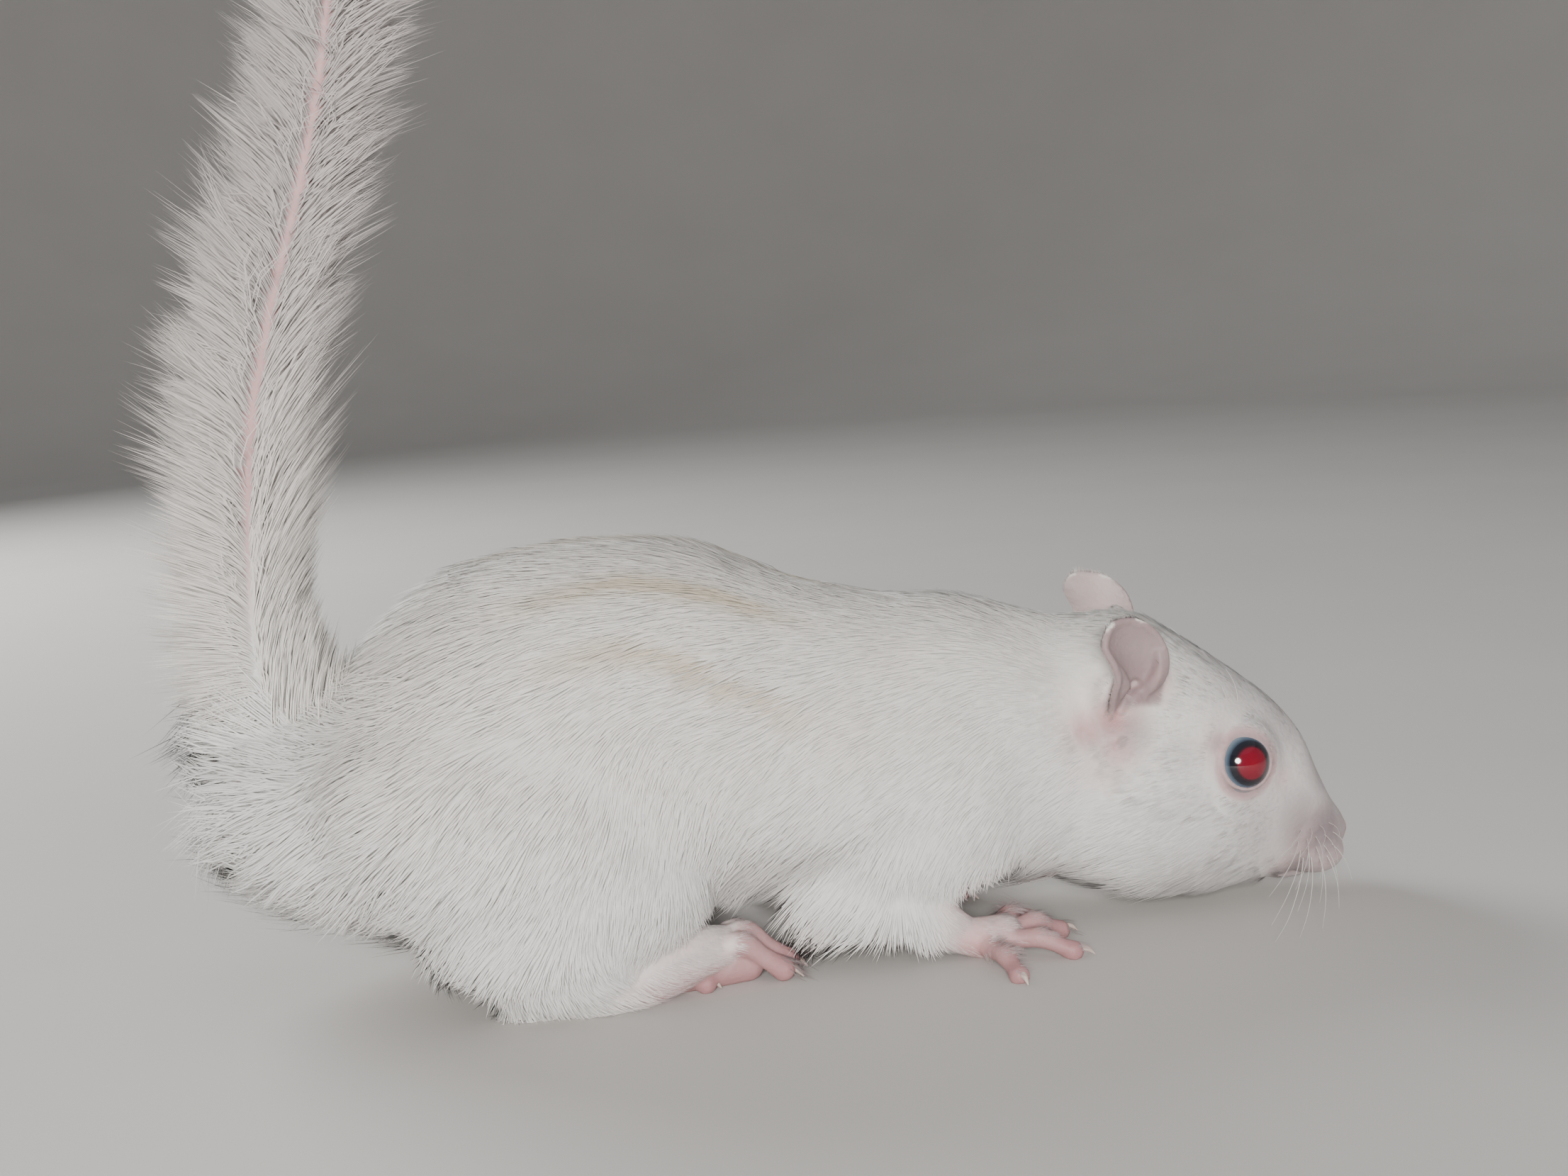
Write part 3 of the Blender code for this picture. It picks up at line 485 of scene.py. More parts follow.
def outline_loft(outline, fullness=2.0):
    """Rounded sections that each reach from one edge of the outline to the other."""
    rings = []
    for ux, uz, vx, vz, half, widest in between(outline).tolist():
        upper, lower = Vector((ux, 0, uz)), Vector((vx, 0, vz))
        middle = lower.lerp(upper, widest)
        ring = []
        for k in range(RING_POINTS):
            angle = math.tau * k / RING_POINTS
            rise, spread = (math.copysign(abs(part) ** (2 / fullness), part)
                            for part in (math.sin(angle), math.cos(angle)))
            reach = upper - middle if rise > 0 else middle - lower
            ring.append(middle + reach * rise + Vector((0, half * spread, 0)))
        rings.append(ring)
    return lofted(rings)


def limb(rows, points=16):
    """A round limb along (x, y, z, radius) rows, with dome ends."""
    rows = between(rows).tolist()
    places = [Vector(row[:3]) for row in rows]
    heads = [(b - a).normalized() for a, b in zip(places, places[1:])]
    heads.append(heads[-1])
    line = list(zip(places, heads, (row[3] for row in rows)))
    first, last = ([(place + head * way * radius * math.sin(turn), head, radius * math.cos(turn))
                    for turn in DOME_TURNS]
                   for (place, head, radius), way in ((line[0], -1), (line[-1], 1)))
    rings = []
    for place, head, radius in first + line + last[::-1]:
        side = head.cross(Vector((0, 0, 1))).normalized()
        up = side.cross(head)
        rings.append([place + radius * (side * math.cos(math.tau * k / points)
                                        + up * math.sin(math.tau * k / points))
                      for k in range(points)])
    return lofted(rings)


def masses(rows, side, lead=0.0):
    """The ellipsoids of a table, on one side."""
    made = []
    for (x, y, z), radii, pitch, share in rows:
        matrix = (Matrix.Translation(on_side([(x, y, z)], side, lead * share)[0])
                  @ Matrix.Rotation(math.radians(pitch), 4, "Y") @ Matrix.Diagonal((*radii, 1.0)))
        bm = bmesh.new()
        bmesh.ops.create_uvsphere(bm, u_segments=40, v_segments=20, radius=1.0, matrix=matrix)
        made.append(new_object("mass", bm))
    return made


def ear_place(side, row, u, lift=0.0):
    """A point of the ear flap: u runs from its rear rim (-1) to its front rim (1)."""
    across = Vector((math.cos(EAR_TURN), math.sin(EAR_TURN) * -side, 0))
    out = Vector((math.sin(EAR_TURN), math.cos(EAR_TURN) * side, 0))
    rear, front, height, stand, curl = row
    middle = Vector(((rear + front) / 2, stand * side, height))
    return middle + across * (front - rear) / 2 * u + out * (curl * u * u + lift)


def ear_forms(side):
    """A cupped flap with rolled rims, and the folds at its front and its root."""
    rows = between(EAR).tolist()
    bm = bmesh.new()
    sheet = bmesh.ops.create_grid(bm, x_segments=EAR_COLUMNS, y_segments=len(rows) - 1, size=1.0)
    for vert in sheet["verts"]:
        u, v = vert.co.x, (vert.co.y + 1) / 2
        vert.co = ear_place(side, rows[round(v * (len(rows) - 1))], u)
    flap = new_object("ear_flap", bm)
    solid = flap.modifiers.new("thickness", "SOLIDIFY")
    solid.thickness = EAR_THICKNESS
    solid.offset = 0.0
    settle(flap)
    lines = [[(*ear_place(side, row, -1.0), REAR_RIM) for row in EAR[1:]]
             + [(*ear_place(side, row, 1.0), FRONT_RIM) for row in reversed(EAR[3:])]]
    for fold in EAR_FOLDS:
        line = []
        for height, u, lift, radius in fold:
            row = np.array(read_off(between(EAR), 2, height, range(5))).tolist()
            line.append((*ear_place(side, row, u, lift), radius))
        lines.append(line)
    return [flap] + [limb(line, points=12) for line in lines]


def lid_form(side):
    """The roll of skin round the opening of the eye."""
    centre = Vector(on_side([EYE_AT], side)[0])
    reach = EYE_RADIUS + LID_LIFT
    rows = []
    for k in range(17):
        turn = math.tau * k / 16
        along, up = LID_OPENING[0] * math.cos(turn), LID_OPENING[1] * math.sin(turn)
        dx = LID_OFFSET[0] + along * math.cos(LID_SLANT) - up * math.sin(LID_SLANT)
        dz = LID_OFFSET[1] + along * math.sin(LID_SLANT) + up * math.cos(LID_SLANT)
        depth = math.sqrt(max(reach * reach - dx * dx - dz * dz, 0.1))
        rows.append((*(centre + Vector((dx, depth * side, dz))), LID_RADIUS))
    return limb(rows, points=12)


def paw_forms(side):
    """Bare hands and feet, with a knuckle and a round tip on each toe."""
    made = []
    for rows, toes, thick, lead in ((SOLE, HIND_TOES, HIND_TOE_RADIUS, LEFT_HIND_FOOT_LEAD),
                                    (PALM, FRONT_TOES, FRONT_TOE_RADIUS, LEFT_FOREFOOT_LEAD),
                                    (FOOT_PADS, (), 0.0, LEFT_HIND_FOOT_LEAD)):
        made.append(limb(on_side(rows, side, lead)))
        for toe in toes:
            radius = thick * (OUTER_TOE_SLIM if toe in (HIND_TOES[0], HIND_TOES[-1]) else 1.0)
            root, knuckle, end = (Vector(point) for point in on_side(toe, side, lead)[:3])
            places = (root, root.lerp(knuckle, 0.55), knuckle, knuckle.lerp(end, 0.55), end)
            made.append(limb([(*place, radius * girth)
                              for place, girth in zip(places, TOE_GIRTHS)], points=14))
    return turned(made, Matrix.Translation((0, 0, -SOLE_DEPTH)))


# ------ tools on meshes

def settle(obj):
    """Apply the object's modifiers to its mesh."""
    depsgraph = bpy.context.evaluated_depsgraph_get()
    mesh = bpy.data.meshes.new_from_object(obj.evaluated_get(depsgraph))
    obj.modifiers.clear()
    obj.data = mesh


def vertices(mesh, value="co"):
    """A row for each vertex: its place, or its "normal"."""
    table = np.empty(len(mesh.vertices) * 3)
    mesh.vertices.foreach_get(value, table)
    return table.reshape(-1, 3)


def set_vertices(mesh, table):
    mesh.vertices.foreach_set("co", np.ascontiguousarray(table, dtype=np.float32).ravel())
    mesh.update()


def write_marks(mesh, marks, repeat=1):
    """Markings as attributes; each value is given to so many vertices in turn."""
    for key, value in marks.items():
        layer = mesh.attributes.new(key, "FLOAT", "POINT")
        layer.data.foreach_set("value", np.repeat(value, repeat).astype(np.float32))


def face_tree(mesh):
    """The mesh's faces, for rays to be cast at."""
    return BVHTree.FromPolygons([vert.co for vert in mesh.vertices],
                                [tuple(face.vertices) for face in mesh.polygons])


def place_tree(places):
    """The places, for the nearest of them to be found."""
    tree = KDTree(len(places))
    for index, place in enumerate(places):
        tree.insert(place, index)
    tree.balance()
    return tree


def merged(forms, name, voxel, smoothing):
    """One closed skin over all the forms."""
    body = new_object(name, gathered(forms))
    remesh = body.modifiers.new("one_skin", "REMESH")
    remesh.mode = "VOXEL"
    remesh.voxel_size = voxel
    soften = body.modifiers.new("soften", "SMOOTH")
    soften.iterations = smoothing
    soften.factor = 0.5
    settle(body)
    return body


def thinned(obj, keep, target):
    """Fewer triangles, most of them taken where keep is false."""
    group = obj.vertex_groups.new(name="coarse")
    for index in np.flatnonzero(~keep):
        group.add([int(index)], THIN_WEIGHT, "REPLACE")
    count = sum(len(face.vertices) - 2 for face in obj.data.polygons)
    thin = obj.modifiers.new("thin", "DECIMATE")
    thin.ratio = target / count
    thin.vertex_group = "coarse"
    thin.vertex_group_factor = THIN_FACTOR
    settle(obj)
    obj.vertex_groups.clear()


# ------ the lie of the coat

def coat_table(rows, turn):
    """Coat rows on both sides: places, comb directions, and depth, length and width."""
    table = np.repeat(np.array(rows, float), 2, axis=0)
    table[::2, [1, 4]] *= -1
    combs = table[:, 3:6] @ np.array(turn)[:3, :3].T
    return moved(table[:, :3], turn), unit(combs), table[:, 6:]


COAT_PLACES, COAT_COMBS, COAT_NUMBERS = (np.concatenate(pair) for pair in zip(
    coat_table(BODY_COAT, Matrix()), coat_table(HEAD_COAT, HEAD_TURN)))


def coat_at(points):
    """Comb direction and (depth, length, width) of the coat at rows of points."""
    combs, numbers = np.empty((len(points), 3)), np.empty((len(points), 3))
    batch = 20000
    for start in range(0, len(points), batch):
        part = points[start:start + batch]
        gap = ((part[:, None, :] - COAT_PLACES[None]) ** 2).sum(axis=2)
        weight = 1 / (gap + COAT_BLEND) ** 2
        weight /= weight.sum(axis=1, keepdims=True)
        combs[start:start + batch] = weight @ COAT_COMBS
        numbers[start:start + batch] = weight @ COAT_NUMBERS
    return unit(combs), numbers


# ------ skin

def make_skin():
    head = [outline_loft(HEAD, HEAD_FULLNESS)]
    for side, _ in SIDES:
        head += masses(HEAD_MASSES, side)
    forms = turned(head, HEAD_TURN) + [outline_loft(TRUNK)]
    for side, _ in SIDES:
        forms += masses(HIND_MASSES, side, LEFT_HIND_FOOT_LEAD)
        forms += masses(FORE_MASSES, side, LEFT_FOREFOOT_LEAD)
        forms.append(limb(on_side(FOREARM, side, LEFT_FOREFOOT_LEAD)))
    body = merged(forms, "body", BODY_VOXEL, BODY_SOFTENING)
    places = vertices(body.data)
    depth = coat_at(places)[1][:, :1]
    set_vertices(body.data, places - vertices(body.data, "normal") * depth)
    core = limb([(x, 0, z, radius) for x, z, radius in TAIL_CORE], points=20)
    rows = [(ux, uz - gap, vx, vz + gap, half - gap, widest)
            for (ux, uz, vx, vz, half, widest), gap in zip(HEAD[MUZZLE_FROM:], MUZZLE_INSETS)]
    forms = [body, core] + turned([outline_loft(rows, HEAD_FULLNESS)], HEAD_TURN)
    for side, _ in SIDES:
        face = [lid_form(side)] + masses(FACE_MASSES, side) + ear_forms(side)
        forms += turned(face, HEAD_TURN) + paw_forms(side)
    skin = merged(forms, "skin", SKIN_VOXEL, SKIN_SOFTENING)
    places = vertices(skin.data)
    places[:, 2] = np.maximum(places[:, 2], 0.0)
    set_vertices(skin.data, places)
    x, y, z = straightened(places).T
    keep = (x > 87) | ((x > 71) & (z > 24) & (np.abs(y) > 9))  # the face and the ears
    x, y, z = places.T
    keep |= (z < 6.5) & (x > 8) & (np.abs(y) > 3)  # the bare paws
    thinned(skin, keep, SKIN_TRIANGLES)
    refined(skin)
    relieved(skin)
    return skin


def refined(skin):
    """Smaller faces on the tip of the nose."""
    fine = straightened(vertices(skin.data))[:, 0] > NOSE_TIP
    bm = bmesh.new()
    bm.from_mesh(skin.data)
    edges = [edge for edge in bm.edges if all(fine[vert.index] for vert in edge.verts)]
    bmesh.ops.subdivide_edges(bm, edges=edges, cuts=1, use_grid_fill=True)
    bmesh.ops.triangulate(bm, faces=bm.faces)
    bm.to_mesh(skin.data)
    bm.free()


def gap_to(points, path):
    """Distance of each point to a line through the path's places."""
    path = np.asarray(path, float)
    nearest = np.full(len(points), np.inf)
    for a, b in zip(path, path[1:]):
        way = b - a
        share = np.clip((points - a) @ way / (way @ way), 0, 1)[:, None]
        nearest = np.minimum(nearest, np.linalg.norm(points - a - share * way, axis=1))
    return nearest


def relieved(skin):
    """Press the folds of the face into the skin, or raise them."""
    places, normals = vertices(skin.data), vertices(skin.data, "normal")
    straight = straightened(places)
    facing = normals @ np.array(HEAD_TURN.inverted())[:3, :3].T
    height = np.zeros(len(places))
    for side, _ in SIDES:
        sideways = smoothstep(0.15, 0.6, facing[:, 1] * side) * (straight[:, 1] * side > 0)
        for path, half, rise in SIDE_FOLDS:
            gap = gap_to(straight[:, ::2], path)
            height += SIDE_FOLD_DEPTH * rise * np.exp(-(gap / half) ** 2) * sideways
        for path, half, rise in DEEP_FOLDS:
            gap = gap_to(straight, on_side(path, side))
            height += rise * np.exp(-(gap / half) ** 2)
    set_vertices(skin.data, places + normals * height[:, None])


# ------ tufts

def sampled(mesh, count, weight_at):
    """Roots spread over the mesh: their places and normals."""
    mesh.calc_loop_triangles()
    corners = np.empty(len(mesh.loop_triangles) * 3, dtype=np.int32)
    mesh.loop_triangles.foreach_get("vertices", corners)
    corners = corners.reshape(-1, 3)
    places, normals = vertices(mesh), vertices(mesh, "normal")
    a, b, c = (places[corners[:, k]] for k in range(3))
    areas = np.linalg.norm(np.cross(b - a, c - a), axis=1) / 2
    sums = np.cumsum(areas * weight_at((a + b + c) / 3))
    picks = np.searchsorted(sums, (np.arange(count) + rng.random(count)) / count * sums[-1])
    picks = np.minimum(picks, len(corners) - 1)
    u, v = rng.random((2, count, 1))
    flip = (u + v) > 1
    u, v = np.where(flip, 1 - u, u), np.where(flip, 1 - v, v)
    mix = [1 - u - v, u, v]
    roots = sum(m * places[corners[picks, k]] for k, m in enumerate(mix))
    return roots, unit(sum(m * normals[corners[picks, k]] for k, m in enumerate(mix)))


def tuft_lines(roots, normals, combs, lengths, lifts, joints):
    """The path of each tuft: it rises from its root and then lies back."""
    along = unit(combs - normals * (combs * normals).sum(axis=1, keepdims=True))
    points = [roots - normals * ROOT_DEPTH]
    last = 0.0
    for k, joint in enumerate(joints):
        share = k / max(len(joints) - 1, 1)
        angle = lifts * (1 - share * (1 - TUFT_BEND))
        step = (joint - last) * lengths
        last = joint
        points.append(points[-1] + (along * np.cos(angle)[:, None]
                                    + normals * np.sin(angle)[:, None]) * step[:, None])
    return np.stack(points, axis=1)


def clumped(lines, pull, locks):
    """Draw the tips of neighbouring tufts together into locks of uneven length."""
    spacing, uneven = locks
    count = len(lines)
    centres = rng.choice(count, max(count // spacing, 1), replace=False)
    tree = place_tree(lines[centres, 0])
    lock = np.array([tree.find(line)[1] for line in lines[:, 0]])
    share = rng.uniform(1 - uneven, 1 + uneven * 0.4, len(centres))[lock]
    lines[:, 1:] = lines[:, :1] + (lines[:, 1:] - lines[:, :1]) * share[:, None, None]
    steps = lines.shape[1] - 1
    for k in range(1, steps + 1):
        reach = (pull * (k / steps) ** 1.5)[:, None]
        goal = lines[centres[lock], k]
        lines[:, k] += (goal - lines[:, k]) * reach
    return lines, lock


def blades(lines, normals, shades, widths):
    """A blade along each line, with its flat side up and a keel towards the skin.

    It is lit as part of the soft surface that the blades make together: shades are its normals.
    """
    count, stations, _ = lines.shape
    heads = np.gradient(lines, axis=1)
    heads /= np.maximum(np.linalg.norm(heads, axis=2, keepdims=True), 1e-9)
    roll = rng.normal(0, BLADE_ROLL, (count, 1))
    rings, lit = [], []
    for k in range(stations - 1):
        head = heads[:, k]
        side = unit(np.cross(normals, head))
        up = np.cross(head, side)
        side, up = (side * np.cos(roll) + up * np.sin(roll),
                    up * np.cos(roll) - side * np.sin(roll))
        girth = widths[:, None] * BLADE_GIRTH[stations][k]
        for across, rise in BLADE_SECTION:
            rings.append(lines[:, k] + (side * across + up * rise) * girth)
            lit.append(unit(shades + side * across * BLADE_ROUNDNESS))
    return np.stack(rings + [lines[:, -1]], axis=1), np.stack(lit + [shades], axis=1)


def blade_faces(stations):
    """The triangles that close one blade: at its root, along its sides and at its tip."""
    faces = [(0, 2, 1)]
    for k in range(stations - 2):
        for corner in range(3):
            a, b = 3 * k + corner, 3 * k + (corner + 1) % 3
            faces += [(a, b, b + 3), (a, b + 3, a + 3)]
    top = 3 * (stations - 2)
    return faces + [(top + corner, top + (corner + 1) % 3, top + 3) for corner in range(3)]


def tuft_mesh(name, lines, normals, shades, widths, uv_places, marks):
    """One piece of coat: a closed blade for each line, with its patch of the bake map."""
    count, stations, _ = lines.shape
    table, lit = blades(lines, normals, shades, widths)
    per = table.shape[1]
    firsts = np.arange(count)[:, None, None] * per
    every = (np.array(blade_faces(stations))[None] + firsts).reshape(-1)
    mesh = bpy.data.meshes.new(name)
    mesh.vertices.add(count * per)
    set_vertices(mesh, (table.reshape(-1, 3) + SHIFT) * MM)
    mesh.loops.add(len(every))
    mesh.loops.foreach_set("vertex_index", every.astype(np.int32))
    mesh.polygons.add(len(every) // 3)
    mesh.polygons.foreach_set("loop_start", np.arange(0, len(every), 3, dtype=np.int32))
    spots = [(corner / 2, k / (stations - 1)) for k in range(stations - 1) for corner in range(3)]
    uv = uv_places[:, None, :] + (np.array(spots + [(0.5, 1.0)]) * PATCH)[None]
    mesh.uv_layers.new(name="OFBake")
    mesh.uv_layers["OFBake"].data.foreach_set("uv", uv.reshape(-1, 2)[every].ravel())
    write_marks(mesh, marks, per)
    mesh.validate()
    mesh.normals_split_custom_set_from_vertices(lit.reshape(-1, 3).tolist())
    return linked(name, mesh)


def coat_pieces(name, along, angle, lines, normals, shades, widths, marks):
    """The tufts as named pieces along the animal, each under 200,000 triangles.

    Each root's place on the bake map is its angle round the skin and its share of the way along.
    """
    made = []
    count = math.ceil(len(along) / PIECE_TUFTS[lines.shape[1]])
    for number, part in enumerate(np.array_split(np.argsort(along), count), 1):
        rise = (along[part] - along[part].min()) / np.ptp(along[part])
        uv = np.stack([angle[part] / math.tau + 0.5, rise], axis=1) * 0.98 + 0.01
        chosen = {key: value[part] for key, value in marks.items()}
        made.append(tuft_mesh(f"{name}_{number}", lines[part], normals[part], shades[part],
                              widths[part], uv, chosen))
    return made


def core_at(heights):
    """x and radius of the tail core at rows of heights."""
    return np.stack(read_off(between(TAIL_CORE), 1, heights, (0, 2)), axis=1)


def on_tail(points):
    """1 on the tail, 0 on the body, with a soft change at the tail's root."""
    core = core_at(points[:, 2])
    near = np.hypot(points[:, 0] - core[:, 0], points[:, 1])
    return smoothstep(33, 40, points[:, 2]) * falling(1.0, 5.0, near - core[:, 1])


def ear_amount(straight):
    """1 on the flap of an ear, and how far a place lies towards its hollow side."""
    ear, inside = np.zeros(len(straight)), np.zeros(len(straight))
    rear, front, _, stand, curl = read_off(between(EAR), 2, straight[:, 2], range(5))
    for side, _ in SIDES:
        across = np.array((math.cos(EAR_TURN), math.sin(EAR_TURN) * -side))
        out = np.array((math.sin(EAR_TURN), math.cos(EAR_TURN) * side))
        offset = straight[:, :2] - np.stack([(rear + front) / 2, stand * side], 1)
        u = offset @ across / ((front - rear) / 2)
        gap = offset @ out - curl * np.clip(u, -1, 1) ** 2
        near = falling(1.3, 2.0, np.abs(gap)) * falling(1.1, 1.4, np.abs(u))
        near *= smoothstep(29.0, 31.0, straight[:, 2]) * (straight[:, 1] * side > 9)
        inside = np.where(near > 0, gap + 0.1, inside)
        ear = np.maximum(ear, near)
    return ear, inside


def toe_nearness(points, drop):
    """1 on a toe or a pad of the foot, and 1 at the tips of the toes.

    The toes are taken to run this far below their middles, so that their tops fall outside.
    """
    near, tip = np.zeros(len(points)), np.zeros(len(points))
    low = np.flatnonzero(points[:, 2] < 10)
    for side, _ in SIDES:
        for toes, lead, start in ((FRONT_TOES, LEFT_FOREFOOT_LEAD, 0.6),
                                  (HIND_TOES, LEFT_HIND_FOOT_LEAD, 1.1)):
            for toe in toes:
                root, knuckle, end, _ = np.array(on_side(toe, side, lead))
                path = (root + (knuckle - root) * start, knuckle + (end - knuckle) * 0.2, end)
                gap = gap_to(points[low], np.array(path) - (0, 0, drop))
                near[low] = np.maximum(near[low], falling(1.7, 2.4, gap))
                gap = np.linalg.norm(points[low] - end, axis=1)
                tip[low] = np.maximum(tip[low], falling(1.2, 3.2, gap))
        gap = gap_to(points[low], on_side(HIND_PADS, side, LEFT_HIND_FOOT_LEAD))
        near[low] = np.maximum(near[low], falling(2.9, 3.5, gap))
    return near, tip


def spotted(places, spots):
    """The strongest of some soft spots at each place, on either side."""
    folded = np.stack([places[:, 0], np.abs(places[:, 1]), places[:, 2]], axis=1)
    amount = np.zeros(len(places))
    for place, radius, strength in spots:
        gap = np.linalg.norm(folded - place, axis=1)
        amount = np.maximum(amount, strength * np.exp(-(gap / radius) ** 2))
    return amount


def eye_gap(straight):
    """Distance of places of the straight head to the middle of the nearer eye."""
    return np.minimum.reduce([np.linalg.norm(straight - on_side([EYE_AT], side)[0], axis=1)
                              for side, _ in SIDES])


def bare_at(points):
    """1 on bare skin: the hollow of the ears, toes, lids, nose and lips."""
    straight = straightened(points)
    ear, inside = ear_amount(straight)
    return np.maximum.reduce([
        ear * (inside > 0),
        falling(EYE_RADIUS + 0.35, EYE_RADIUS + 0.7, eye_gap(straight)),
        smoothstep(107.6, 108.3, straight[:, 0]), 0.4 * spotted(straight, THIN_SPOTS),
        toe_nearness(points, 1.4)[0]])


def soft_normals(roots, normals):
    """Normals evened out over a few neighbouring roots."""
    tree = place_tree(roots[::8])
    some = normals[::8]
    soft = np.empty_like(normals)
    for index, root in enumerate(roots):
        soft[index] = some[[hit[1] for hit in tree.find_n(root, 5)]].sum(axis=0)
    return unit(soft + normals)


def body_weight(points):
    """How many tufts a place needs: more where the hair is short and narrow."""
    _, length, width = coat_at(points)[1].T
    free = (1 - bare_at(points)) * (1 - on_tail(points))
    return free * (points[:, 2] > 0.25) / (length * width) ** 0.62


def body_hair(roots, normals):
    """How each tuft of the body grows: its comb direction, length, lift and shagginess."""
    count = len(roots)
    combs, numbers = coat_at(roots)
    depth, length, _ = numbers.T
    unruly = np.clip(length / 6, 0.4, 1.3)[:, None]
    combs = combs + (WAVE_SIZE * np.sin(roots @ np.array(WAVES).T)
                     + WAVE_NOISE * rng.standard_normal((count, 3))) * unruly
    # Long hair of the rump, thighs and belly: some tufts in it are much longer than the rest.
    shaggy = smoothstep(*SHAGGY, length)
    long = rng.random(count) < STRAYS + STRAYS * shaggy
    full = length * rng.normal(1.0, 0.14, count).clip(0.6, 1.4)
    full *= np.where(long, 1.2 + 0.25 * shaggy, 1.0)
    # The lift brings a tuft's tip out to the coat's depth, and more where it is combed outwards.
    out = np.clip((unit(combs) * normals).sum(axis=1), 0, 1)
    lifts = np.minimum(0.8 * np.arcsin(out), depth / length) * smoothstep(3.5, 6.0, length)
    lifts = lifts + depth / length * (0.85 + 0.2 * shaggy)
    lifts = np.clip(lifts, *TUFT_LIFTS) * rng.normal(1.0, 0.18, count).clip(0.5, 1.6)
    return combs, full, lifts, shaggy


def body_locks(lines, shaggy):
    """Draw the tufts into small locks, and the shaggy ones into larger locks as well."""
    count = len(lines)
    pull = rng.uniform(0.0, 0.35, count) + shaggy * rng.uniform(0, 0.6, count)
    lines, lock = clumped(lines, pull, BODY_LOCKS)
    wild = np.flatnonzero(shaggy > 0.3)
    if len(wild) > FEWEST_SHAGGY:
        pull = shaggy[wild] * rng.uniform(0.2, 0.8, len(wild))
        lines[wild], _ = clumped(lines[wild], pull, SHAGGY_LOCKS)
    lines[:, 1:, 2] = np.maximum(lines[:, 1:, 2], FLOOR_GAP)
    return lines, lock


def grow_body(skin):
    """Tufts over the head, trunk and limbs, in pieces by region and side."""
    roots, normals = sampled(skin.data, BODY_TUFTS, body_weight)
    _, length, width = coat_at(roots)[1].T
    combs, full, lifts, shaggy = body_hair(roots, normals)
    shades = soft_normals(roots, normals)
    marks = markings(roots)
    marks["tone"] = rng.random(len(roots))
    head = straightened(roots)[:, 0] > HEAD_FROM
    short = length < SHORT_HAIR
    chosen = {"head": head & short, "paw": ~head & short, "body": ~short}
    made = []
    for region, (joints, raised, broad, tilt, height) in REGIONS.items():
        for side, word in SIDES:
            part = np.flatnonzero(chosen[region] & (roots[:, 1] * side > 0))
            lines = tuft_lines(roots[part], normals[part], combs[part], full[part],
                               lifts[part] * raised, joints)
            lines, lock = body_locks(lines, shaggy[part])
            tilts = rng.normal(0, tilt, (lock.max() + 1, 3))[lock]
            picked = {key: value[part] for key, value in marks.items()}
            if region == "head":
                streaks = rng.random(lock.max() + 1)[lock] ** 2
                picked["mauve_and_shade"] = picked["mauve_and_shade"] + HEAD_STREAKS * streaks
            angle = np.arctan2(roots[part, 1], roots[part, 2] - height)
            made += coat_pieces(f"{region}_coat_{word}", roots[part, 0], angle, lines,
                                normals[part], unit(shades[part] + tilts), width[part] * broad,
                                picked)
    return made


def tail_weight(points):
    """How many tufts a place of the tail needs: few along the parting on its right side."""
    height = points[:, 2]
    angle = np.arctan2(points[:, 1], points[:, 0] - core_at(height)[:, 0])
    parting = np.exp(-((angle + math.pi / 2) / PARTING_WIDTH) ** 2)
    parting *= smoothstep(52, 68, height)
    parting *= falling(118, 130, height)
    low_front = falling(44, 60, height) * smoothstep(-0.5, 0.5, np.cos(angle))
    return on_tail(points) * (1 - PARTING_BARENESS * parting) * (1 + 1.2 * low_front)


def tail_directions(roots):
    """Ways along the tail's core, out of it and aside from its parting, and 1 towards the front."""
    count = len(roots)
    height = roots[:, 2]
    core = core_at(height)
    below = core_at(height - 2)
    axis = unit(np.stack([core[:, 0] - below[:, 0], np.zeros(count), np.full(count, 2.0)], 1))
    out = np.stack([roots[:, 0] - core[:, 0], roots[:, 1], np.zeros(count)], 1)
    out = unit(out - axis * (out * axis).sum(axis=1, keepdims=True))
    # Hair beside the parting turns away from it, to the front or to the rear.
    near = np.clip(-out[:, 1], 0, 1) ** 2
    sideways = out.copy()
    sideways[:, 0] += np.sign(out[:, 0] + 0.0001) * near * 0.8
    sideways += 0.09 * rng.standard_normal((count, 3))
    sideways = unit(sideways - axis * (sideways * axis).sum(axis=1, keepdims=True))
    return axis, out, sideways, smoothstep(-0.8, 0.8, sideways[:, 0])


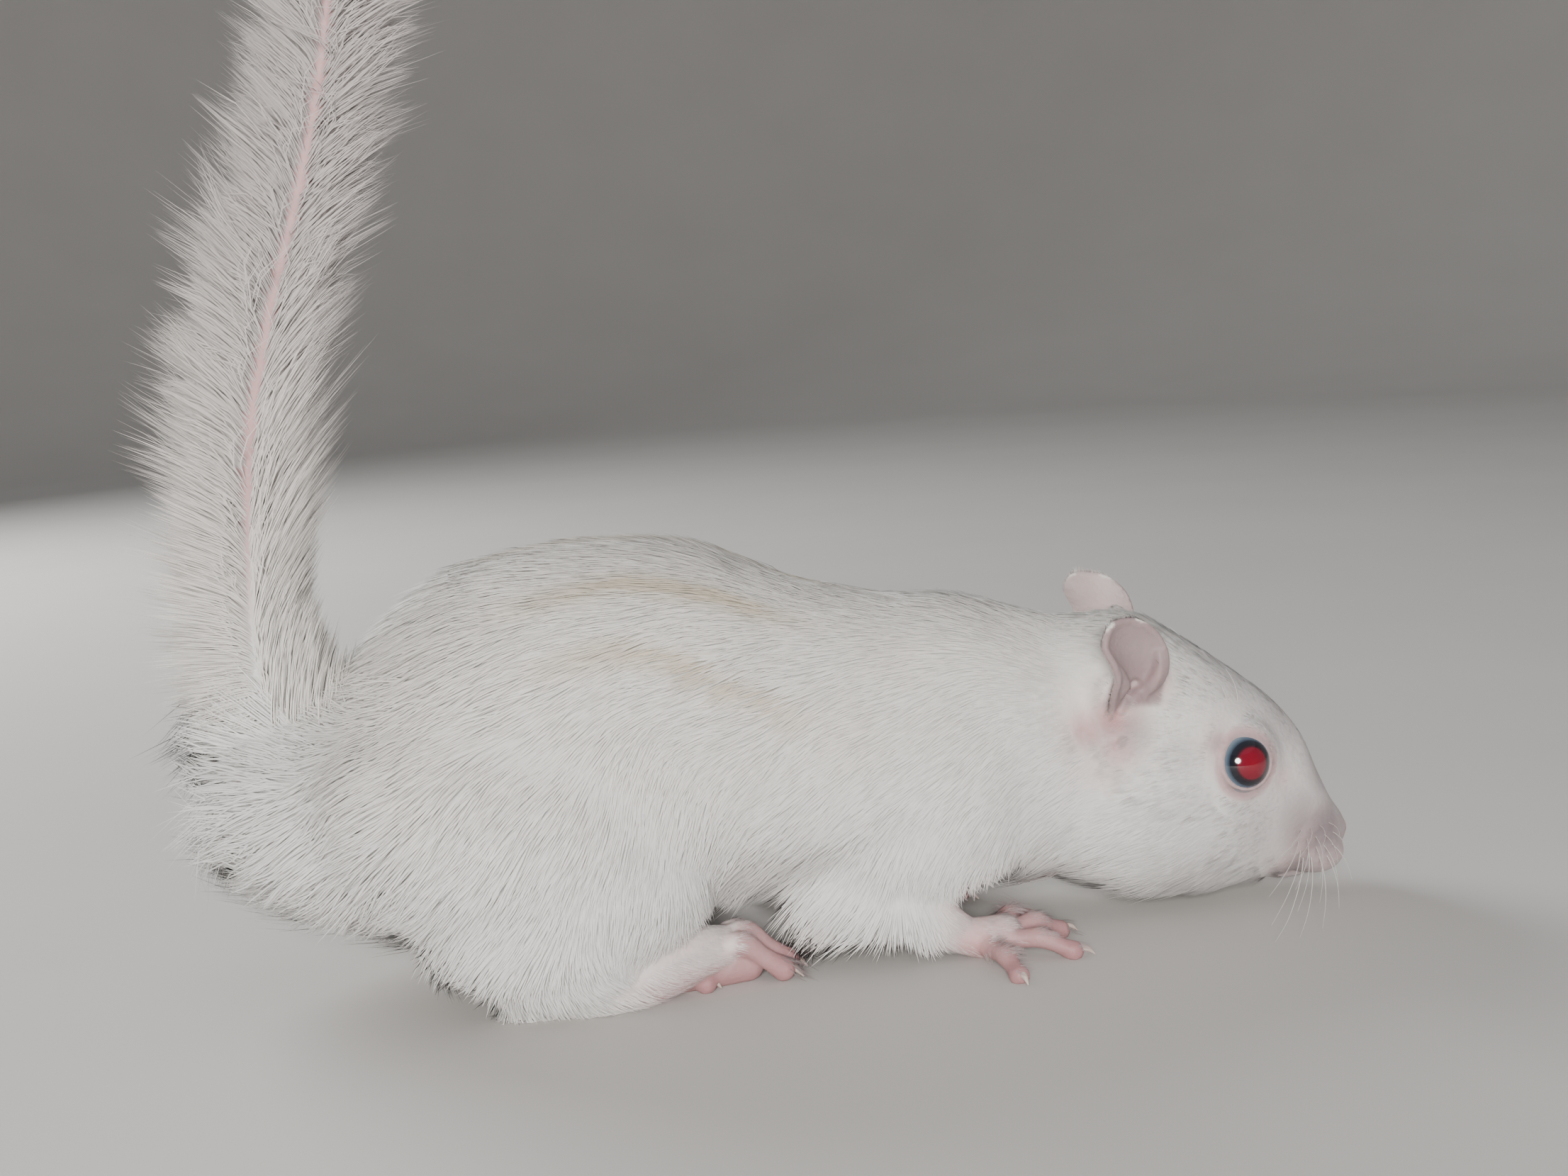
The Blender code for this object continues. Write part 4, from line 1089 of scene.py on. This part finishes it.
def grow_tail(skin):
    """Long hair that leans out of the tail, shorter in front at the root, longer behind."""
    form = outline_loft(TAIL)
    outline = face_tree(form.data)
    bpy.data.objects.remove(form)
    roots, normals = sampled(skin.data, TAIL_TUFTS, tail_weight)
    count = len(roots)
    height = roots[:, 2]
    axis, out, sideways, facing = tail_directions(roots)
    front, rear = read_off(np.array(TAIL_LEAN, float), 0, height, (1, 2))
    loose = 0.35 + 0.65 * smoothstep(46, 72, height - 14 * facing)
    lean = np.radians(rear + (front - rear) * facing + rng.normal(0, 8, count) * loose)
    aim = unit(axis * np.cos(lean)[:, None] + sideways * np.sin(lean)[:, None])
    # Hair reaches the tail's outline, within limits; where it misses it, 8 mm is taken.
    hits = (outline.ray_cast(Vector(root), Vector(way)) for root, way in zip(roots, aim))
    reach = np.array([8.0 if hit[3] is None else hit[3] for hit in hits])
    full_grown = np.maximum(smoothstep(38, 54, height - 4 * facing), 1 - facing)
    length = np.minimum(np.clip(reach, *TAIL_REACH), TAIL_FRONT_LENGTH + TAIL_GROWTH * full_grown)
    length *= rng.normal(0.88, 0.17, count).clip(0.45, 1.25)
    points = [roots - normals * 0.1]
    for way, share in ((unit(aim + axis * 0.35), 0.33), (aim, 0.34),
                       (unit(aim + sideways * 0.10), 0.33)):
        points.append(points[-1] + way * (length * share)[:, None])
    pull = rng.uniform(0.15, 1.0, count) * loose
    lines, lock = clumped(np.stack(points, axis=1), pull, TAIL_LOCKS)
    broad = 1 + TAIL_FRONT_BROADER - TAIL_FRONT_BROADER * full_grown
    width = rng.uniform(*TAIL_WIDTHS, count) * broad
    marks = markings(roots)
    marks["tone"] = rng.random(count)
    marks["pink"] = marks["pink"] * TAIL_PINK
    marks["beige"] = np.full(count, TAIL_BEIGE)
    # Painted shade: the tail's hair turns greyer with height.
    marks["mauve_and_shade"] = TAIL_SHADE_GREY * smoothstep(30, 105, height)
    shades = out * 0.7
    shades[:, 1] += 1.2 * smoothstep(0.2, 4.0, roots[:, 1]) - 0.6
    shades += rng.normal(0, TAIL_LOCK_TILT, (lock.max() + 1, 3))[lock]
    angle = np.arctan2(roots[:, 1], roots[:, 0] - core_at(height)[:, 0])
    return coat_pieces("tail_coat", height, angle, lines, out, unit(shades), width, marks)


# ------ markings

def markings(points):
    """Amounts of beige stripe, pink, deep pink, and mauve with painted shade at places of the skin.
    """
    straight = straightened(points)
    x, y, z = points.T
    top, bottom = read_off(between(TRUNK), 0, x, (1, 3))
    middle = bottom + (top - bottom) * 0.42
    angle = np.degrees(np.arctan2(np.abs(y), z - middle))
    wash = smoothstep(16, 34, z) * smoothstep(-24, -8, x) * falling(80, 96, x)
    beige = np.maximum(0.20 * wash, 0.34 * spotted(points, SHOULDER_SPOTS))
    for wide, rows in STRIPES:
        centre, strength = read_off(np.array(rows, float), 0, x, (1, 2))
        beige = np.maximum(beige, np.exp(-((angle - centre) / wide) ** 2) * strength)
    tail = on_tail(points)
    ear, inside = ear_amount(straight)
    beige = np.maximum(beige * (1 - tail), 0.6 * ear * (inside > 0))
    lid = eye_gap(straight)
    low, under = falling(6.5, 9.0, z), falling(2.0, 5.5, z)
    foot = smoothstep(7, 18, x) * falling(38, 40, x) * smoothstep(8, 11, np.abs(y))
    hand = smoothstep(47, 55, x) * falling(70, 72, x) * smoothstep(2.5, 4, np.abs(y))
    toes, tips = toe_nearness(points, 0.8)
    sole = falling(0.8, 2.4, z) * np.maximum(foot, hand)
    pink = np.maximum.reduce([
        spotted(straight, PINK_SPOTS),
        ear * np.where(inside > 0, 0.60, 0.40),  # the hollow, and the back
        0.7 * falling(EYE_RADIUS + 0.5, EYE_RADIUS + 1.3, lid),  # lids
        low * foot * (0.36 + 0.5 * under),
        low * hand * (0.55 + 0.35 * under),
        0.95 * toes,
        0.8 * tail * smoothstep(40, 58, z)])  # skin in the tail's parting
    deep = np.maximum.reduce([
        spotted(straight, DEEP_SPOTS),
        0.30 * sole,
        0.45 * tips,
        0.12 * tail * smoothstep(50, 66, z)])
    # Mauve-grey of the lid margins and toes, and painted shade: the face's grey spots and the ears'
    # hollows.
    mauve_and_shade = np.maximum.reduce([
        spotted(straight, MAUVE_AND_SHADE_SPOTS),
        ear * np.where(inside > 0, 0.76, 0.40),
        0.55 * falling(EYE_RADIUS + 0.15, EYE_RADIUS + 0.8, lid),
        0.28 * toes])
    return {"beige": np.clip(beige, 0, 1), "pink": pink, "deep": deep, "mauve_and_shade": mauve_and_shade}


# ------ materials

def colour(code):
    """An sRGB hex colour as the linear values that a shader takes."""
    parts = [int(code[k:k + 2], 16) / 255 for k in (1, 3, 5)]
    return (*[p / 12.92 if p <= 0.04045 else ((p + 0.055) / 1.055) ** 2.4 for p in parts], 1.0)


def feed(material, node, inputs):
    """Gives a node's inputs their values, hex colours or links to other nodes' outputs."""
    for key, value in inputs.items():
        if isinstance(value, bpy.types.NodeSocket):
            material.node_tree.links.new(value, node.inputs[key])
        else:
            node.inputs[key].default_value = colour(value) if isinstance(value, str) else value


def add(material, kind, inputs=None, **settings):
    """Adds a node with its settings and links."""
    node = material.node_tree.nodes.new("ShaderNode" + kind)
    for key, value in settings.items():
        setattr(node, key, value)
    feed(material, node, inputs or {})
    return node


def new_material(name):
    """A material, its shader, and the object's own coordinates."""
    made = bpy.data.materials.new(name)
    made.use_nodes = True
    place = add(made, "TexCoord").outputs["Object"]
    return made, made.node_tree.nodes["Principled BSDF"], place


def coat_material():
    """White guard hair and underfur: no pigment, so it is only as warm as keratin is, and soft."""
    made, shader, place = new_material("white_guard_hair")
    # Clouds of 1.1 mm, as broad as a few locks, and of 9 mm.
    locks, patches = (add(made, "TexNoise", {"Vector": place, "Scale": per_metre,
                                             "Detail": 3.0}).outputs["Fac"]
                      for per_metre in (900.0, 110.0))
    tone, beige, pink, mauve_and_shade = (add(made, "Attribute", attribute_name=name).outputs["Fac"]
                                for name in ("tone", "beige", "pink", "mauve_and_shade"))
    flush = add(made, "Math", {0: pink, 1: 0.62}, operation="MULTIPLY").outputs[0]
    base = "#E6E4E0"
    # The mauve-grey layer also lays painted shade on the face, in the ears' hollows and up the tail.
    for amount, top in ((tone, "#EDEBE8"), (locks, "#EAE8E4"), (patches, "#E4E2DF"),
                        (beige, "#CFC4B1"), (flush, "#C99E9E"), (mauve_and_shade, "#857A7D")):
        base = add(made, "Mix", {"Factor": amount, 6: base, 7: top}, data_type="RGBA").outputs[2]
    feed(made, shader, {"Base Color": base, "Roughness": 0.6, "Specular IOR Level": 0.25,
                        "Sheen Weight": 0.1, "Sheen Roughness": 0.5})
    return made


def skin_material():
    """Bare albino skin, pink with blood and a little moist, and pale underfur between tufts."""
    made, shader, place = new_material("albino_skin")
    # Clouds of 4 mm, as blood shows through thin skin.
    cloud = add(made, "TexNoise", {"Vector": place, "Scale": 260.0, "Detail": 4.0}).outputs["Fac"]
    beige, pink, deep, mauve_and_shade = (add(made, "Attribute", attribute_name=name).outputs["Fac"]
                                for name in ("beige", "pink", "deep", "mauve_and_shade"))
    flesh = add(made, "Mix", {"Factor": cloud, 6: "#B78486", 7: "#CA9A99"},
                data_type="RGBA").outputs[2]
    base = "#E4E1DD"
    # The mauve-grey layer is partly painted shade: on the face and in the hollows of the ears.
    for amount, top in ((cloud, "#ECEAE6"), (beige, "#CFC4B1"), (pink, flesh),
                        (deep, "#A8676B"), (mauve_and_shade, "#877A7D")):
        base = add(made, "Mix", {"Factor": amount, 6: base, 7: top}, data_type="RGBA").outputs[2]
    moist = add(made, "MapRange", {"Value": cloud, "To Min": 0.48, "To Max": 0.64})
    # Cells of 0.7 mm are the creases of the bare paws, drawn coarse enough to show.
    creases = add(made, "TexVoronoi", {"Vector": place, "Scale": 1500.0}).outputs["Distance"]
    bump = add(made, "Bump", {"Height": creases, "Strength": 0.25, "Distance": 0.0002})
    feed(made, shader, {"Base Color": base, "Roughness": moist.outputs["Result"],
                        "Normal": bump.outputs["Normal"], "Subsurface Weight": 0.25,
                        "Subsurface Radius": (1.0, 0.35, 0.2), "Subsurface Scale": 0.0012})
    return made


def eye_material(side):
    """An albino's eye: a red pupil in a dark blue ring, under a wet cornea."""
    made, shader, place = new_material("albino_eye")
    pupil = eye_point(side, PUPIL_TURN)
    gap = add(made, "VectorMath", {0: place, 1: pupil}, operation="DISTANCE").outputs["Value"]
    share = add(made, "MapRange", {"Value": gap, "From Min": 0.0, "From Max": 5.0 * MM})
    ramp = add(made, "ValToRGB", {"Fac": share.outputs["Result"]})
    stops = ((0.0, "#8A0420"), (0.39, "#780322"), (0.45, "#2C0616"), (0.49, "#080B18"),
             (0.59, "#0E1524"), (0.66, "#4E6071"), (0.75, "#7D8B97"), (1.0, "#A99C9E"))
    elements = ramp.color_ramp.elements
    for at, code in stops[1:-1]:
        elements.new(at)
    for element, (at, code) in zip(elements, stops):
        element.position = at
        element.color = colour(code)
    # Fine veins of 0.7 mm in the iris, and a film of tears that thins out over 2 mm.
    veins = add(made, "TexNoise", {"Vector": place, "Scale": 1400.0, "Detail": 4.0})
    faint = add(made, "Math", {0: veins.outputs["Fac"], 1: 0.25}, operation="MULTIPLY")
    base = add(made, "Mix", {"Factor": faint.outputs[0], 6: ramp.outputs["Color"], 7: "#1A0410"},
               data_type="RGBA").outputs[2]
    film = add(made, "TexNoise", {"Vector": place, "Scale": 500.0, "Detail": 3.0})
    wet = add(made, "MapRange", {"Value": film.outputs["Fac"], "To Min": 0.08, "To Max": 0.16})
    feed(made, shader, {"Base Color": base, "Roughness": wet.outputs["Result"],
                        "Coat Weight": 1.0, "Coat Roughness": 0.03})
    return made


def keratin_material(name, pale, warm, per_metre):
    """Claws and whiskers: clear, pale horn, a little warmer in places and finely streaked."""
    made, shader, place = new_material(name)
    streaks = add(made, "TexNoise", {"Vector": place, "Scale": per_metre,
                                     "Detail": 4.0}).outputs["Fac"]
    base = add(made, "Mix", {"Factor": streaks, 6: pale, 7: warm}, data_type="RGBA").outputs[2]
    rough = add(made, "MapRange", {"Value": streaks, "To Min": 0.28, "To Max": 0.45})
    bump = add(made, "Bump", {"Height": streaks, "Strength": 0.15, "Distance": 0.0001})
    feed(made, shader, {"Base Color": base, "Roughness": rough.outputs["Result"],
                        "Normal": bump.outputs["Normal"], "Subsurface Weight": 0.2,
                        "Subsurface Scale": 0.0008})
    return made


def paper_material():
    """Matt pale paper with a faint tooth of 1.4 mm, a little uneven over 70 mm."""
    made, shader, place = new_material("floor_paper")
    tooth, sweep = (add(made, "TexNoise", {"Vector": place, "Scale": per_metre,
                                           "Detail": detail}).outputs["Fac"]
                    for per_metre, detail in ((700.0, 5.0), (14.0, 3.0)))
    base = add(made, "Mix", {"Factor": sweep, 6: "#C3C0BC", 7: "#CBC8C4"},
               data_type="RGBA").outputs[2]
    bump = add(made, "Bump", {"Height": tooth, "Strength": 0.1, "Distance": 0.0002})
    feed(made, shader, {"Base Color": base, "Roughness": 0.9, "Normal": bump.outputs["Normal"]})
    return made


# ------ eyes, claws and whiskers

def eye_point(side, offset):
    """A place on the eyeball, in the frame and in metres."""
    dx, dz = offset
    depth = math.sqrt(EYE_RADIUS * EYE_RADIUS - dx * dx - dz * dz)
    centre = np.array(on_side([EYE_AT], side)[0])
    place = moved([centre + (dx, depth * side, dz)], HEAD_TURN)[0]
    return tuple((place + SHIFT) * MM)


def into_frame(obj, material):
    """From working millimetres to the frame's metres, smooth, and in its own material."""
    obj.data.transform(Matrix.Scale(MM, 4) @ Matrix.Translation(SHIFT))
    obj.data.shade_smooth()
    obj.data.materials.append(material)


def make_eye(side, word):
    bm = bmesh.new()
    bmesh.ops.create_icosphere(bm, subdivisions=5, radius=EYE_RADIUS)
    matrix = HEAD_TURN @ Matrix.Translation(on_side([EYE_AT], side)[0])
    bmesh.ops.transform(bm, verts=bm.verts, matrix=matrix)
    eye = new_object(f"eyeball_{word}", bm)
    into_frame(eye, eye_material(side))
    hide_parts(f"eye_{word}")
    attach(eye, "root")


def make_claws(horn):
    """Pale, curved, tapering claws at the ends of the toes."""
    for toes, word_of, lead in ((FRONT_TOES, "hand", LEFT_FOREFOOT_LEAD),
                                (HIND_TOES, "foot", LEFT_HIND_FOOT_LEAD)):
        for side, word in SIDES:
            made = []
            for toe in toes:
                _, knuckle, end, tip = (Vector(place) for place in on_side(toe, side, lead))
                end.z -= SOLE_DEPTH
                arch = end.lerp(tip, 0.5) + Vector((0, 0, CLAW_ARCH))
                places = (end.lerp(knuckle, 0.1), end.lerp(arch, 0.6), arch.lerp(tip, 0.3), tip)
                made.append(limb([(*place, radius)
                                  for place, radius in zip(places, CLAW_RADII)], points=10))
            claws = new_object(f"claws_{word_of}_{word}", gathered(made))
            into_frame(claws, horn)
            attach(claws, "root")


def make_whiskers(skin_tree, horn):
    """Fine pale whiskers that sweep back and down from the muzzle, and two over each eye."""
    starts = [(first + (last - first) * k / (count - 1), z, row, k)
              for row, (first, last, z, count) in enumerate(WHISKER_ROWS) for k in range(count)]
    starts += [(x, z, -1, k) for k, (x, z) in enumerate(BROW_WHISKERS)]
    for side, word in SIDES:
        made = []
        inward = HEAD_TURN.to_3x3() @ Vector((0, -side, 0))
        for x, z, row, k in starts:
            brow = row < 0
            root, _, _, _ = skin_tree.ray_cast(HEAD_TURN @ Vector((x, 30.0 * side, z)), inward)
            length = (rng.uniform(7, 10) if brow
                      else WHISKER_LENGTH - WHISKER_SHORTENING * k + rng.uniform(-1.5, 1.5))
            rise = 0.9 if brow else 0.16 - 0.16 * row
            way = Vector((-0.45 + 0.13 * k, 0.95 * side, rise)).normalized()
            sag = Vector((-0.35, 0, 0.0 if brow else -0.16))
            line = []
            for t in (0, 0.25, 0.5, 0.75, 1.0):
                place = root + way * (length * t - 0.4) + sag * (length * t * t * 0.6)
                line.append((place.x, place.y, max(place.z, 0.3), 0.06 * (1 - t) + 0.016))
            made.append(limb(line, points=5))
        whiskers = new_object(f"whiskers_{word}", gathered(made))
        into_frame(whiskers, horn)
        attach(whiskers, "root")


# ------ scene

def make_camera():
    """On the animal's right, a little above its back, looking slightly down and rolled."""
    lens = bpy.data.cameras.new("camera")
    lens.lens = LENS
    lens.sensor_width = 36.0
    lens.clip_start = 0.01
    camera = linked("camera", lens)
    stand = Matrix.Translation((np.array(CAMERA_AT) + SHIFT) * MM)
    for degrees, axis in CAMERA_TURNS:
        stand = stand @ Matrix.Rotation(math.radians(degrees), 4, axis)
    camera.matrix_world = stand
    bpy.context.scene.camera = camera


def make_lamp(name, place, target, size, power, tint, glints):
    light = bpy.data.lights.new(name, "AREA")
    light.shape = "DISK"
    light.size = size
    light.energy = power
    light.color = colour(tint)[:3]
    lamp = linked(name, light)
    lamp.visible_glossy = glints
    lamp.location = place
    lamp.rotation_euler = (Vector(target) - Vector(place)).to_track_quat("-Z", "Y").to_euler()


def make_stage():
    """A floor that curves up into a low wall all round, and the studio's light."""
    bm = bmesh.new()
    start = bm.verts.new((0.02, 0, 0))
    profile = [(FLOOR_REACH + FLOOR_CURVE * math.sin(turn), FLOOR_CURVE * (1 - math.cos(turn)))
               for turn in np.linspace(0, math.pi / 2, 12)]
    for x, z in profile + [(FLOOR_REACH + FLOOR_CURVE, WALL_TOP)]:
        grown = bmesh.ops.extrude_vert_indiv(bm, verts=[start])["verts"][0]
        grown.co = (x, 0, z)
        start = grown
    bmesh.ops.spin(bm, geom=bm.verts[:] + bm.edges[:], axis=(0, 0, 1), cent=(0, 0, 0),
                   angle=math.tau, steps=96, use_merge=True)
    bmesh.ops.remove_doubles(bm, verts=bm.verts, dist=0.0001)
    bmesh.ops.holes_fill(bm, edges=[edge for edge in bm.edges if edge.is_boundary
                                    and edge.verts[0].co.z < 0.01], sides=0)
    bmesh.ops.recalc_face_normals(bm, faces=bm.faces)
    floor = new_object("studio_floor", bm)
    floor.data.shade_smooth()
    floor.data.materials.append(paper_material())
    world = bpy.data.worlds.new("studio")
    world.use_nodes = True
    background = world.node_tree.nodes["Background"]
    background.inputs["Color"].default_value = colour(SKY[0])
    background.inputs["Strength"].default_value = SKY[1]
    bpy.context.scene.world = world
    for lamp in LAMPS:
        make_lamp(*lamp)


FLESH = ["head", "neck", "trunk", "tail_base", "tail_middle", "tail_tip"] + [
    f"{part}_{word}" for part in ("ear", "foreleg", "forefoot", "hind_leg", "hind_foot")
    for _, word in SIDES]

skin = make_skin()
tufts = grow_body(skin) + grow_tail(skin)
write_marks(skin.data, markings(vertices(skin.data)))
skin_tree = face_tree(skin.data)
into_frame(skin, skin_material())
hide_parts(*FLESH)
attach(skin, "root")
hair = coat_material()
for piece in tufts:
    piece.data.materials.append(hair)
    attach(piece, "root")
for side, word in SIDES:
    make_eye(side, word)
make_claws(keratin_material("claw_keratin", "#D2C4BC", "#B8A39A", 900.0))
make_whiskers(skin_tree, keratin_material("whisker_keratin", "#F4F1EC", "#E5DED6", 600.0))
make_camera()
make_stage()
